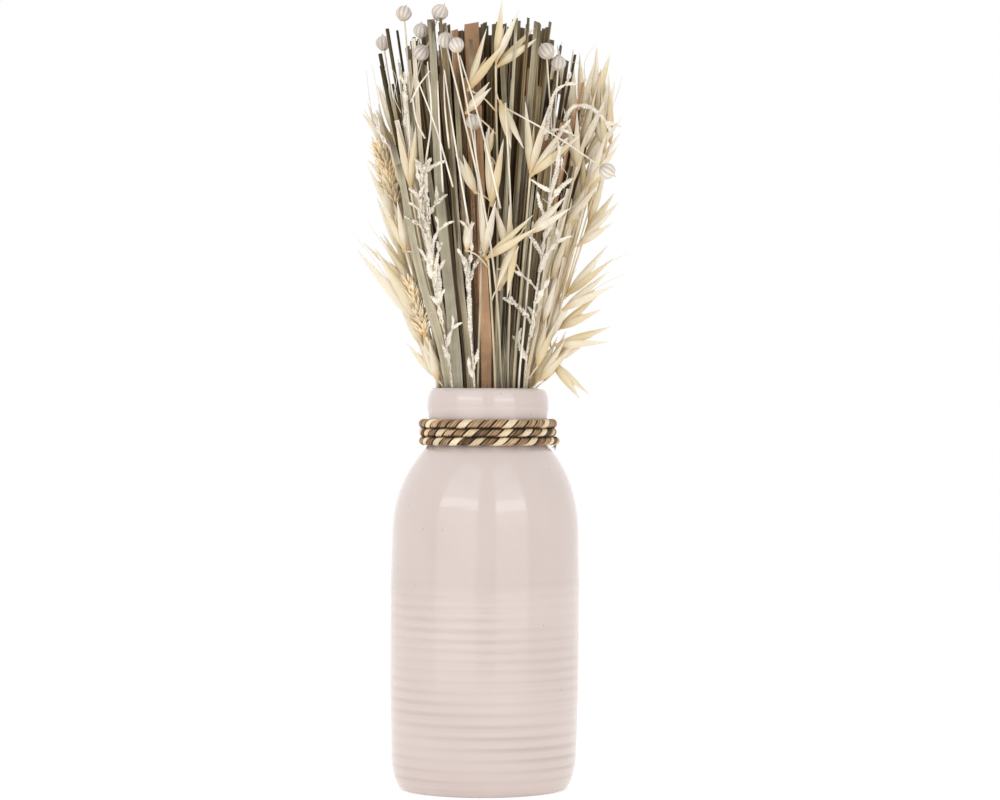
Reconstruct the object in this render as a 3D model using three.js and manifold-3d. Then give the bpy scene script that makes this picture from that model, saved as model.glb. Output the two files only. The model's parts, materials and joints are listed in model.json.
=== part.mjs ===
// Dried flowers in a stoneware vase, at real size.
// Millimetres, +Z up, origin at the middle of the vase's base. The bouquet's front faces -Y, and +X is its right.
//
// Every stem stands on the vase's floor, passes its own slot in the mouth and fans out above it. A slot is the
// stem's place [x, y] at the height of the lip, and a tip is a point [x, y, z].

import * as THREE from "three";
import { mergeVertices } from "three/addons/utils/BufferGeometryUtils.js";
import Module from "manifold-3d";

const wasm = await Module();
wasm.setup();

// ---------------------------------------------------------------- driving dimensions

const VASE_HEIGHT = 169;
const BASE_RADIUS = 34.2;
const BODY_RADIUS = 40;
const SHOULDER_Z = 108;
const WAIST_RADIUS = 25.1;
const WAIST_LOW_Z = 146.5;
const WAIST_HIGH_Z = 154.5;
const COLLAR_RADIUS = 25.8;
const COLLAR_Z = 160.5;
const MOUTH_RADIUS = 21.4;
const LIP_CREST_RADIUS = 22.4;
const FLOOR_Z = 5;
const WALL = 4.4;
const VASE_SIDES = 32;

const GAP = 0.3;
const CORD_RADIUS = 1.7;
const CORD_TURNS = 2.9;
const CORD_PITCH = 2 * CORD_RADIUS + 0.2;
const CORD_START_Z = 146.8;
const CORD_COIL_RADIUS = WAIST_RADIUS + CORD_RADIUS + 0.4;
const CORD_SIDES = 6;
const CORD_STEPS_PER_TURN = 24;

const SLOT_Z = VASE_HEIGHT - 1;
const FOOT_Z = FLOOR_Z + GAP;
const FOOT_SPREAD = 1.05;

const BLADE_THICKNESS = 0.9;
const BLADE_STEPS = 9;
const STEM_SIDES = 5;
const STEM_STEPS = 9;
const HUSK_SIDES = 4;
const HUSK_WIDTH = 3.9;
const HUSK_FLATNESS = 0.5;
const POD_RADIUS = 3.4;
const POD_SIDES = 7;

// ---------------------------------------------------------------- colours

const finish = (color, roughness) => new THREE.MeshStandardMaterial({ color, roughness, metalness: 0 });

const GLAZE = finish(0xdfd0c8, 0.18);
const SEAGRASS = finish(0xa98f68, 0.85);
const GREY_GREEN = finish(0xa19f8c, 0.8);
const COPPER_BROWN = finish(0xa67c5f, 0.8);
const DARK_BROWN = finish(0x4a3d2f, 0.8);
const OAT_CREAM = finish(0xe6d7b6, 0.7);
const OAT_GOLD = finish(0xcfb083, 0.7);
const FLAX_WHITE = finish(0xd7cdc3, 0.75);
const STATICE_WHITE = finish(0xebe2d6, 0.85);
const STRAW = finish(0xe6dcc6, 0.7);

// ---------------------------------------------------------------- geometry helpers

// Joins a geometry's shared corners and drops the slivers that this leaves.
function weld(geometry) {
  geometry.deleteAttribute("normal");
  geometry.deleteAttribute("uv");
  const welded = mergeVertices(geometry, 1e-3);
  const corners = welded.index.array;
  const kept = [];
  for (let i = 0; i < corners.length; i += 3) {
    const [a, b, c] = corners.slice(i, i + 3);
    if (a !== b && b !== c && c !== a) kept.push(a, b, c);
  }
  welded.setIndex(kept);
  return welded;
}

function toSolid(geometry) {
  const welded = weld(geometry);
  return new wasm.Manifold(
    new wasm.Mesh({
      numProp: 3,
      vertProperties: welded.attributes.position.array,
      triVerts: new Uint32Array(welded.index.array),
    }),
  );
}

function toGeometry(solid) {
  const { vertProperties, triVerts } = solid.getMesh();
  const geometry = new THREE.BufferGeometry();
  geometry.setAttribute("position", new THREE.BufferAttribute(vertProperties, 3));
  geometry.setIndex(new THREE.BufferAttribute(triVerts, 1));
  return geometry;
}

// One body from parts that run into each other.
function join(geometries) {
  const [first, ...others] = geometries.map(toSolid);
  return toGeometry(others.reduce((whole, part) => whole.add(part), first));
}

// Moves every corner of a geometry by a function of its point.
function reshape(geometry, move) {
  const position = geometry.attributes.position;
  const point = new THREE.Vector3();
  for (let i = 0; i < position.count; i++) {
    point.fromBufferAttribute(position, i);
    move(point);
    position.setXYZ(i, point.x, point.y, point.z);
  }
  return geometry;
}

// Bends a geometry that runs from z = 0 to z = 1 on to a path. Its X lies across the path, along `across`, and
// turns by `twist` between the mouth and the tip.
function bend(geometry, path, across, twist = 0) {
  return reshape(geometry, (point) => {
    const t = THREE.MathUtils.clamp(point.z, 0, 1);
    const along = path.getTangent(t);
    const side = across.clone().addScaledVector(along, -across.dot(along)).normalize();
    side.applyAxisAngle(along, twist * THREE.MathUtils.smoothstep(t, 1 / 3, 1));
    const face = along.clone().cross(side);
    const centre = path.getPoint(t);
    point.copy(centre.addScaledVector(side, point.x).addScaledVector(face, point.y));
  });
}

// Cuts whatever a stem has below the vase's floor flat, just clear of it.
function standOnFloor(geometry) {
  return reshape(geometry, (point) => {
    if (point.z < FOOT_Z + 1) point.z = FOOT_Z;
  });
}

// The way of a stem from the vase's floor through its slot to its tip.
function stemPath(slot, ...points) {
  const [x, y] = slot;
  const foot = new THREE.Vector3(x * FOOT_SPREAD, y * FOOT_SPREAD, FOOT_Z);
  const lip = new THREE.Vector3(x, y, SLOT_Z);
  const above = points.map((point) => new THREE.Vector3(...point));
  return new THREE.CatmullRomCurve3([foot, lip, ...above]);
}

// A round, tapered rod from z = 0 to z = 1.
function rod(startRadius, endRadius, sides, steps) {
  const cylinder = new THREE.CylinderGeometry(endRadius, startRadius, 1, sides, steps);
  return cylinder.rotateX(Math.PI / 2).translate(0, 0, 0.5);
}

const ACROSS = new THREE.Vector3(1, 0, 0);

function stem(path, radius) {
  return standOnFloor(bend(rod(radius, radius * 0.75, STEM_SIDES, STEM_STEPS), path, ACROSS));
}

// A short stalk from one point to another, thick enough to run into both.
function stalk(from, to, radius) {
  const way = new THREE.LineCurve3(from, to);
  const across = Math.abs(to.x - from.x) > Math.abs(to.z - from.z) ? new THREE.Vector3(0, 0, 1) : ACROSS;
  return bend(rod(radius, radius, 4, 1), way, across);
}

// The point of a path at a height.
function atHeight(path, z) {
  let low = 0;
  let high = 1;
  for (let i = 0; i < 24; i++) {
    const middle = (low + high) / 2;
    if (path.getPoint(middle).z < z) low = middle;
    else high = middle;
  }
  return path.getPoint(low);
}

// The outward normal and the right-hand direction of a bouquet side: 0 is the front, 90 its right, 180 the back.
function sideOf(facing) {
  const angle = THREE.MathUtils.degToRad(facing);
  const outward = new THREE.Vector3(Math.sin(angle), -Math.cos(angle), 0);
  const right = new THREE.Vector3(Math.cos(angle), Math.sin(angle), 0);
  return { outward, right };
}

// Up, leaned by degrees to the right as seen from the bouquet side.
function leaned(side, degrees, outwards = 0.12) {
  const lean = THREE.MathUtils.degToRad(degrees);
  const direction = new THREE.Vector3(0, 0, Math.cos(lean));
  direction.addScaledVector(side.right, Math.sin(lean));
  return direction.addScaledVector(side.outward, outwards).normalize();
}

// Stands a geometry that is drawn along +Y at a point, along a direction, with its flat side outward.
function stand(geometry, origin, direction, outward) {
  const across = direction.clone().cross(outward).normalize();
  const face = across.clone().cross(direction);
  const basis = new THREE.Matrix4().makeBasis(across, direction, face).setPosition(origin);
  return geometry.applyMatrix4(basis);
}

// ---------------------------------------------------------------- vase and cord

function vaseGeometry() {
  const innerBody = BODY_RADIUS - WALL;
  const outline = new THREE.Path();
  outline.moveTo(0, 0);
  outline.lineTo(BASE_RADIUS, 0);
  outline.quadraticCurveTo(38, 1.5, BODY_RADIUS - 0.7, 12);
  outline.lineTo(BODY_RADIUS, 45);
  outline.lineTo(BODY_RADIUS, 85);
  outline.lineTo(BODY_RADIUS - 0.5, SHOULDER_Z);
  outline.bezierCurveTo(BODY_RADIUS - 0.7, 124, 34.5, 134.5, 26, 144.3);
  outline.quadraticCurveTo(WAIST_RADIUS, 145, WAIST_RADIUS, WAIST_LOW_Z);
  outline.lineTo(WAIST_RADIUS, WAIST_HIGH_Z);
  outline.quadraticCurveTo(WAIST_RADIUS, 157, COLLAR_RADIUS, COLLAR_Z);
  outline.bezierCurveTo(COLLAR_RADIUS + 0.3, 165, 25, VASE_HEIGHT, LIP_CREST_RADIUS, VASE_HEIGHT);
  outline.quadraticCurveTo(MOUTH_RADIUS, VASE_HEIGHT, MOUTH_RADIUS, 166);
  outline.lineTo(MOUTH_RADIUS, 147);
  outline.bezierCurveTo(29.5, 136, innerBody - 0.6, 124, innerBody - 0.3, SHOULDER_Z);
  outline.lineTo(innerBody, 45);
  outline.lineTo(innerBody - 0.5, 14);
  outline.quadraticCurveTo(34, FLOOR_Z, 27, FLOOR_Z);
  outline.lineTo(0, FLOOR_Z);
  return weld(new THREE.LatheGeometry(outline.getPoints(3), VASE_SIDES).rotateX(Math.PI / 2));
}

// The cord's way round the neck: from its cut end at the right across the front, then round the back, where
// it climbs to the next turn, so that its three turns lie level across the front.
class NeckWinding extends THREE.Curve {
  getPoint(t, target = new THREE.Vector3()) {
    const turns = t * CORD_TURNS;
    const wholeTurns = Math.floor(turns);
    const climbs = wholeTurns < Math.floor(CORD_TURNS);
    const climb = climbs ? THREE.MathUtils.smoothstep(turns - wholeTurns, 0.55, 0.95) : 0;
    const angle = -2 * Math.PI * turns;
    const z = CORD_START_Z + CORD_PITCH * (wholeTurns + climb);
    return target.set(CORD_COIL_RADIUS * Math.cos(angle), CORD_COIL_RADIUS * Math.sin(angle), z);
  }
}

function neckCordGeometry() {
  const section = new THREE.Shape();
  for (let i = 0; i < CORD_SIDES; i++) {
    const angle = ((i + 0.5) * 2 * Math.PI) / CORD_SIDES;
    const corner = [CORD_RADIUS * Math.cos(angle), CORD_RADIUS * Math.sin(angle)];
    if (i) section.lineTo(...corner);
    else section.moveTo(...corner);
  }
  const steps = Math.round(CORD_TURNS * CORD_STEPS_PER_TURN);
  return weld(new THREE.ExtrudeGeometry(section, { steps, extrudePath: new NeckWinding() }));
}

// ---------------------------------------------------------------- plant pieces

// A flat strip with a lengthwise fold, cut square at both ends.
function bladeGeometry({ slot, tip, via, width, tipWidth = width * 0.8, turn = 0, twist = 0, fold = 0.9 }) {
  const path = stemPath(slot, ...(via ? [via] : []), tip);
  const strip = new THREE.BoxGeometry(1, BLADE_THICKNESS, 1, 2, 1, BLADE_STEPS).translate(0, 0, 0.5);
  reshape(strip, (point) => {
    point.y += fold * (1 - 2 * Math.abs(point.x)) * (slot[1] > 4 ? -1 : 1);
    point.x *= THREE.MathUtils.lerp(width, tipWidth, point.z);
  });
  const across = sideOf(turn).right;
  return weld(standOnFloor(bend(strip, path, across, THREE.MathUtils.degToRad(twist))));
}

// A pointed, boat-shaped husk along +Y.
function huskGeometry(length, width) {
  const profile = [
    [0, -0.4],
    [0.5, length * 0.3],
    [0.34, length * 0.7],
    [0, length],
  ];
  const outline = profile.map(([half, y]) => new THREE.Vector2(half * width, y));
  return new THREE.LatheGeometry(outline, HUSK_SIDES).scale(1, 1, HUSK_FLATNESS);
}

// A pair of husks that open in a V from one point. spread is the angle between them, in degrees.
function huskPair(base, lean, length, side, spread = 20, width = HUSK_WIDTH) {
  return [-0.5, 0.5].map((half) => {
    const direction = leaned(side, lean + half * spread, 0.1 + 0.08 * half);
    return stand(huskGeometry(length * (1 - 0.08 * half), width), base, direction, side.outward);
  });
}

// An oat stem with its husk pairs. Each pair is [x, y, z, lean, length, spread, width]: the place of its
// base, how far it leans to the right in degrees, and its size.
function oatGeometry({ slot, tip, via = [], radius = 0.8, facing = 0, pairs }) {
  const path = stemPath(slot, ...via, tip);
  const side = sideOf(facing);
  const parts = [stem(path, radius)];
  for (const [x, y, z, lean, length, spread, width] of pairs) {
    const base = new THREE.Vector3(x, y, z);
    const hangs = Math.abs(lean) > 100;
    const reach = Math.min(0.7 * Math.hypot(x - path.getPoint(1).x, 6), 9);
    const root = atHeight(path, Math.min(hangs ? z + reach : z - reach, tip[2] - 0.8));
    parts.push(stalk(root, base, 0.55));
    parts.push(...huskPair(base, lean, length, side, spread, width));
  }
  return join(parts);
}

// A round seed pod with a short nib, along +Y, with its middle at the origin.
function podGeometry() {
  const profile = [
    [0, -1],
    [0.72, -0.7],
    [1, 0],
    [0.72, 0.7],
    [0.2, 1],
    [0, 1.3],
  ];
  const outline = profile.map(([x, y]) => new THREE.Vector2(x * POD_RADIUS, y * POD_RADIUS));
  return new THREE.LatheGeometry(outline, POD_SIDES);
}

// A flax stem that ends in a pod, with further pods on side branches, which leave it at branchZ.
function flaxGeometry({ slot, tip, via = [], radius = 0.65, branchZ, pods = [], nodding = false }) {
  const path = stemPath(slot, ...via, tip);
  const parts = [stem(path, radius)];
  const ends = nodding ? [] : [[tip, path.getTangent(1)]];
  for (const pod of pods) {
    const root = atHeight(path, branchZ);
    const end = new THREE.Vector3(...pod);
    parts.push(stalk(root, end, 0.5));
    ends.push([pod, end.clone().sub(root).normalize()]);
  }
  for (const [place, direction] of ends) {
    const centre = new THREE.Vector3(...place);
    parts.push(stand(podGeometry(), centre, direction, sideOf(0).outward));
  }
  return join(parts);
}

// A canary-grass stem: a plump head of overlapping pointed bracts.
function canaryGeometry({ slot, tip, headLength = 30, headRadius = 4.4 }) {
  const path = stemPath(slot, tip);
  const along = path.getTangent(1);
  const top = path.getPoint(1);
  const outline = [
    [0, -1],
    [headRadius * 0.75, headLength * 0.2],
    [headRadius, headLength * 0.5],
    [headRadius * 0.6, headLength * 0.85],
    [0, headLength],
  ].map(([x, y]) => new THREE.Vector2(x, y));
  const parts = [stem(path, 0.8), stand(new THREE.LatheGeometry(outline, 6), top, along, sideOf(0).outward)];
  const rows = 4;
  for (let row = 0; row < rows; row++) {
    for (const facing of [20, 140, 260]) {
      const side = sideOf(facing + 60 * (row % 2));
      const root = top.clone().addScaledVector(along, headLength * (0.12 + 0.19 * row));
      root.addScaledVector(side.outward, headRadius * 0.45);
      const direction = along.clone().addScaledVector(side.outward, 0.4).normalize();
      parts.push(stand(new THREE.ConeGeometry(1.7, 9, 4).translate(0, 4, 0), root, direction, side.right));
    }
  }
  return join(parts);
}

// A statice stem with flat, winged side twigs. Each twig is [height on the stem, lean, length].
function staticeGeometry({ slot, tip, via = [], facing = 0, twigs }) {
  const path = stemPath(slot, ...via, tip);
  const side = sideOf(facing);
  const parts = [stem(path, 0.8)];
  for (const [z, lean, length] of twigs) {
    const direction = leaned(side, lean, 0.2);
    const root = atHeight(path, z).addScaledVector(direction, -0.4);
    const wing = new THREE.CylinderGeometry(0.7, 1.3, length, 4).translate(0, length / 2, 0).scale(1, 1, 0.6);
    parts.push(stand(wing, root, direction, side.outward));
  }
  return join(parts);
}

// ---------------------------------------------------------------- the bouquet

// Leaf strips in five rows, from the front of the mouth to the back.
const BLADES = [
  { slot: [-12, -11.6], via: [-27, -18.5, 225], tip: [-38, -22, 270], width: 4.4, turn: -14, twist: -20 },
  { slot: [-5.5, -12], via: [-16, -19.5, 240], tip: [-22.4, -25, 322], width: 5.8, tipWidth: 4.2 },
  { slot: [7, -12], via: [10, -18, 240], tip: [6.5, -25, 320], width: 3.4, turn: 6 },
  { slot: [11.6, -11.6], via: [18, -17.5, 240], tip: [22, -25, 321], width: 3.4, turn: 12, twist: 20 },
  { slot: [-12.3, -7], via: [-22, -11, 235], tip: [-31, -16, 300], width: 4.6, turn: -10, twist: -35 },
  { slot: [-6.3, -7.2], via: [-11, -12, 245], tip: [-13.5, -16.5, 306], width: 4.8, turn: 5 },
  { slot: [5, -7.2], via: [8.5, -11.5, 245], tip: [13, -16.5, 323], width: 4.2, turn: -6 },
  { slot: [10.6, -7], via: [18, -11, 245], tip: [28, -16, 322], width: 4.2, turn: 8, twist: 35 },
  { slot: [-14, -2.4], via: [-25, -4.2, 245], tip: [-36, -6, 306], width: 5, turn: -12, twist: -62 },
  { slot: [-7.6, -2.6], via: [-13.5, -4.4, 245], tip: [-18, -6, 318], width: 5, turn: 8, twist: -40 },
  { slot: [-1, -2.6], via: [-1.5, -4.4, 245], tip: [-1, -6.5, 323], width: 5.2, turn: -4 },
  { slot: [5.8, -2.6], via: [9.5, -4.4, 245], tip: [14.5, -6.5, 322], width: 5, turn: 10, twist: 35 },
  { slot: [12.6, -2.4], via: [21.5, -2.6, 245], tip: [32, -1.5, 314], width: 5, turn: 12, twist: 62 },
  { slot: [-11.8, 2.2], via: [-20, 3.8, 245], tip: [-27, 6, 314], width: 5, turn: 8, twist: -75 },
  { slot: [-4.6, 2.2], via: [-8, 4, 245], tip: [-10, 6, 321], width: 5, turn: -8, twist: 30 },
  { slot: [2.6, 2.2], via: [4.5, 4, 245], tip: [7, 6, 322], width: 5, turn: 8, twist: -40 },
  { slot: [9.8, 2.2], via: [16.5, 3.8, 245], tip: [24, 6, 316], width: 5, turn: -8, twist: 75 },
  { slot: [-9.4, 6.8], via: [-16, 12, 245], tip: [-21, 17, 306], width: 5.4, turn: 10, twist: 40 },
  { slot: [-1, 7], via: [-1.5, 12.5, 245], tip: [-1, 18.5, 317], width: 5.4, turn: -6 },
  { slot: [7.6, 6.8], via: [13, 12, 245], tip: [18, 17, 311], width: 5.4, turn: -10, twist: -40 },
];

const COPPER_SHEATHS = {
  copper_sheath_front: { slot: [1.2, -12.2], via: [-1, -19, 225], tip: [-3, -22.5, 268], width: 5.2, tipWidth: 2.4 },
  copper_sheath_back: { slot: [-0.7, -7.2], via: [-2.4, -12, 245], tip: [-5.5, -17, 324], width: 4.8, tipWidth: 6.8 },
};

const DARK_STALKS = {
  dark_stalk_1: { slot: [-16.8, -5], tip: [-41, -9.5, 320] },
  dark_stalk_2: { slot: [-17.2, 1.8], tip: [-44.5, 4, 311] },
};

const OATS = {
  oat_centre_top: {
    slot: [4.5, -19.4],
    via: [[5.5, -25, 235]],
    tip: [4.6, -31, 302],
    pairs: [
      [4.9, -32, 304, 15, 24, 18],
      [5.4, -30, 302, 50, 21, 12],
      [-6.5, -33, 292, 27, 25, 20],
      [8.2, -33, 285, 178, 15, 16],
    ],
  },
  oat_centre_right: {
    slot: [11.9, -16.1],
    via: [[15.5, -22, 215]],
    tip: [18.8, -29, 256],
    pairs: [
      [19, -29, 258, 6, 28, 18],
      [19.4, -29.5, 257, 43, 27, 17],
      [13, -31, 231, -165, 24, 12],
      [11, -28.5, 222, -10, 24, 14],
    ],
  },
  oat_middle: {
    slot: [1.9, -19.9],
    via: [[3, -24, 200]],
    tip: [1.6, -30, 222],
    pairs: [
      [1, -33, 222.5, 53, 25, 12],
      [0, -30, 224, 4, 24, 14],
      [1.2, -28, 205, -24, 18, 14],
    ],
  },
  oat_left: {
    slot: [-13.6, -14.8],
    via: [[-24, -20, 215]],
    tip: [-30.5, -24.5, 250],
    pairs: [
      [-30.5, -25, 252, -5, 27, 17],
      [-33, -22, 226, -18, 22, 16],
    ],
  },
  oat_left_top: {
    slot: [-20, 1.5],
    via: [[-31, 0, 225]],
    tip: [-37, -2, 265],
    pairs: [
      [-37.5, -3, 267, -31, 22, 14],
      [-36, -5, 274, -14, 23, 14],
      [-35.5, 1, 252, -38, 19, 18],
    ],
  },
  husk_left: {
    slot: [-17.2, -9.9],
    via: [[-23, -12, 190]],
    tip: [-26.5, -14, 201],
    pairs: [
      [-27, -15, 201, -40, 38, 13, 7],
      [-26, -13, 203, -22, 26, 14, 5],
      [-20.5, -11.5, 173.5, -38, 16, 14],
    ],
  },
  oat_right_edge: {
    slot: [18.7, -4.6],
    via: [[28, -8, 190], [36, -11, 223]],
    tip: [43.5, -13, 255],
    pairs: [
      [28.5, -10, 180, 138, 20, 10],
      [29, -5, 181, 57, 14, 16],
      [30, -12, 187, 79, 23, 13],
      [31, -6, 194, 58, 21, 16],
      [33, -12, 202, 57, 24, 14],
      [34.5, -8, 208, 46, 26, 12],
      [39.5, -14, 229, 50, 18, 14],
      [43.5, -13, 254, 28, 22, 18],
    ],
  },
  oat_right_top: {
    slot: [20, -0.6],
    via: [[31, -1, 225]],
    tip: [40, -4.5, 280],
    pairs: [
      [36, -4.5, 284, -4, 29, 12],
      [41, -4.5, 284, 5, 25, 14],
      [46, -5.5, 289, 11, 23, 15],
      [41.5, -5, 263, 34, 27, 12],
      [37, 2, 262, 8, 26, 14],
    ],
  },
  oat_side_right: {
    slot: [18.4, 7.4],
    via: [[29, 12, 215]],
    tip: [37, 17, 255],
    facing: 70,
    pairs: [
      [37.5, 17, 256, 4, 27, 20],
      [35.5, 22, 238, 44, 22, 16],
      [34, 10, 226, -34, 22, 14],
      [30.5, 17, 208, 48, 24, 14],
      [26, 10, 190, -4, 19, 14],
    ],
  },
  oat_back_left: {
    slot: [-13, 15],
    via: [[-20, 24, 230]],
    tip: [-25, 32, 288],
    facing: 210,
    pairs: [
      [-25, 32.5, 290, 3, 26, 18],
      [-28, 30, 272, 38, 24, 15],
      [-20, 32, 262, -36, 24, 15],
      [-24, 26, 236, 16, 23, 14],
      [-16, 27, 222, -38, 22, 16],
    ],
  },
  oat_back_mid: {
    slot: [-3.5, 10.8],
    via: [[-4, 22, 235]],
    tip: [-3, 33, 300],
    facing: 180,
    pairs: [
      [-3, 33.5, 302, -8, 24, 18],
      [2, 31, 284, -42, 24, 14],
      [-8, 31, 276, 34, 25, 16],
      [1, 26, 246, -30, 23, 14],
    ],
  },
  oat_back_right: {
    slot: [16.2, 11.4],
    via: [[23, 20, 230]],
    tip: [29, 27, 290],
    facing: 145,
    pairs: [
      [29.5, 27.5, 292, 2, 26, 18],
      [33, 25, 274, -36, 25, 14],
      [24, 30, 264, 38, 24, 16],
      [27, 20, 238, -16, 23, 14],
      [20, 25, 226, 36, 22, 14],
    ],
  },
};

const FLAX = {
  flax_left_a: {
    slot: [-18.6, -6.8],
    via: [[-27, -15, 245]],
    tip: [-33.6, -21, 325],
    branchZ: 290,
    pods: [
      [-26.5, -21, 317.8],
      [-18.6, -22, 325.3],
    ],
  },
  flax_left_b: {
    slot: [-19.3, 5.2],
    via: [[-32, 9, 245]],
    tip: [-43.5, 12, 316.5],
    branchZ: 262,
    pods: [[-26.9, 13, 311.3]],
  },
  flax_cross: {
    slot: [7.1, -18.7],
    via: [[2.5, -37, 228]],
    tip: [-16, -37, 312],
    branchZ: 238,
    pods: [[-11.5, -40, 309.6]],
  },
  flax_mid: { slot: [-0.7, -20], via: [[-1.5, -26, 228]], tip: [-4.4, -30, 279] },
  flax_right: {
    slot: [18.2, -8.2],
    via: [[26, -15, 240]],
    tip: [30.7, -24, 304],
    branchZ: 270,
    pods: [[25.6, -27, 308.6]],
  },
  flax_kinked: {
    slot: [9.6, -17.6],
    via: [[11, -29, 235]],
    tip: [8.6, -39, 286],
    branchZ: 284,
    pods: [[50.5, -38, 258]],
    nodding: true,
  },
  flax_back_left: {
    slot: [-16, 12],
    via: [[-25, 20, 245]],
    tip: [-28, 28, 307],
    branchZ: 282,
    pods: [[-20, 30, 312]],
  },
  flax_back_right: {
    slot: [19.7, 3.4],
    via: [[31, 8, 245]],
    tip: [33, 15, 298],
    branchZ: 272,
    pods: [[41, 12, 284]],
  },
};

const CANARY_GRASS = {
  canary_left: { slot: [-19.6, -3.2], tip: [-37.5, -8, 246] },
  canary_back: { slot: [-17.9, 8.6], tip: [-36, 19, 250] },
};

const STATICE = {
  statice_left: {
    slot: [-10.6, -16.9],
    via: [[-21, -24.5, 218]],
    tip: [-26.5, -28, 258],
    twigs: [
      [257, 53, 13],
      [248, -28, 10],
      [242, 24, 11],
      [234, -22, 10],
      [226, 28, 16],
      [216, -30, 9],
      [180, -16, 11],
    ],
  },
  statice_mid: {
    slot: [-4.2, -19.3],
    via: [[-6, -24, 195]],
    tip: [-6.6, -27, 220],
    twigs: [
      [218, 8, 17],
      [214, -28, 9],
      [204, 22, 10],
      [178, 16, 8],
      [174, -30, 8],
    ],
  },
  statice_right: {
    slot: [16.3, -11.2],
    via: [[21, -25, 205]],
    tip: [28, -32, 252],
    twigs: [
      [250, -64, 10],
      [251, 14, 18],
      [246, 44, 14],
      [226, -24, 10],
      [210, -52, 13],
      [212, 36, 12],
      [197, -36, 9],
    ],
  },
  statice_back: {
    slot: [6, 11],
    via: [[11, 21, 215]],
    tip: [14, 29, 258],
    facing: 180,
    twigs: [
      [256, 24, 12],
      [250, -30, 12],
      [240, 34, 10],
      [230, -26, 12],
      [216, 30, 10],
    ],
  },
};

const STRAW_PATH = { slot: [14.1, -14], via: [16.5, -19, 195], tip: [20, -25, 238] };

// ---------------------------------------------------------------- assembly

const arrangement = new THREE.Group();

function add(name, geometry, material) {
  const mesh = new THREE.Mesh(geometry, material);
  mesh.name = name;
  arrangement.add(mesh);
}

function addAll(pieces, makeGeometry, material) {
  for (const [name, piece] of Object.entries(pieces)) add(name, makeGeometry(piece), material);
}

add("vase", vaseGeometry(), GLAZE);
add("neck_cord", neckCordGeometry(), SEAGRASS);
BLADES.forEach((blade, i) => {
  add(`leaf_blade_${String(i + 1).padStart(2, "0")}`, bladeGeometry(blade), GREY_GREEN);
});
addAll(COPPER_SHEATHS, bladeGeometry, COPPER_BROWN);
addAll(DARK_STALKS, ({ slot, tip }) => weld(stem(stemPath(slot, tip), 0.8)), DARK_BROWN);
addAll(OATS, oatGeometry, OAT_CREAM);
addAll(FLAX, flaxGeometry, FLAX_WHITE);
addAll(CANARY_GRASS, canaryGeometry, OAT_GOLD);
addAll(STATICE, staticeGeometry, STATICE_WHITE);
add("straw_front", weld(stem(stemPath(STRAW_PATH.slot, STRAW_PATH.via, STRAW_PATH.tip), 0.6)), STRAW);

export default arrangement;
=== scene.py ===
"""Dried flowers in a stoneware vase: the finished pieces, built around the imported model.

Lengths in the layout and the builders are millimetres in the part's frame: +Z is up, the bouquet's front
faces -Y and the vase stands on z = 0. A slot is a stem's place in the mouth, at the height of the lip.
"""

import json
import math

import bpy
import numpy as np
from bpy.props import FloatProperty, FloatVectorProperty, IntProperty, PointerProperty
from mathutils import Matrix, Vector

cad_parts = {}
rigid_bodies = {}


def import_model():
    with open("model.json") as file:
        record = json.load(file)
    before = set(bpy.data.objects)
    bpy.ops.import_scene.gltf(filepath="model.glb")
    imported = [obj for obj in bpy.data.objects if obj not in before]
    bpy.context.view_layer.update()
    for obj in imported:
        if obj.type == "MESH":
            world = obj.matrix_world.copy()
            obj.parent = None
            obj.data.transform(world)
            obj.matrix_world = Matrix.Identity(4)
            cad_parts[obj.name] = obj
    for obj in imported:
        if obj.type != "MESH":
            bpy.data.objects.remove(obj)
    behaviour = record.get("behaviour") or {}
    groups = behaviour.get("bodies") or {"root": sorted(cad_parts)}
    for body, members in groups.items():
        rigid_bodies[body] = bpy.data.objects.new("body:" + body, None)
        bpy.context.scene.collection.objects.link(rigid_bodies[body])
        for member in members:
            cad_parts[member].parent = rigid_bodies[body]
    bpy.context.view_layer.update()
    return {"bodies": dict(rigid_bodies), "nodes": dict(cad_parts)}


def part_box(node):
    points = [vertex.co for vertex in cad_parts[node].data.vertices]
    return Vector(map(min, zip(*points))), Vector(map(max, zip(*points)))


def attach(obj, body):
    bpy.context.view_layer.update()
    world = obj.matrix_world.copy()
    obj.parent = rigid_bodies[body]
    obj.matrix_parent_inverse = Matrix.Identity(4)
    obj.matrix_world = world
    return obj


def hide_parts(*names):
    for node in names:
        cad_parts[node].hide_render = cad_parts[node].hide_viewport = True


bl_info = {
    "name": "Dried flowers in a stoneware vase",
    "version": (1, 0, 0),
    "blender": (4, 5, 0),
    "location": "3D View > Sidebar > Dried flowers",
    "description": "Dresses the vase, its cord and the bouquet with glazed, twisted and dried finishes",
    "category": "Object",
}

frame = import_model()
(BODY,) = frame["bodies"]
MM = 0.001

# ------------------------------------------------------------------ layout, in millimetres

# The stems stand on the vase's floor and lean outward to their slots, which lie just under the vase's top.
LIP_Z = round(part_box("vase")[1].z / MM, 3) - 1
FOOT_Z = round(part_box("straw_front")[0].z / MM, 3)
FOOT_SPREAD = 1.05

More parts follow.
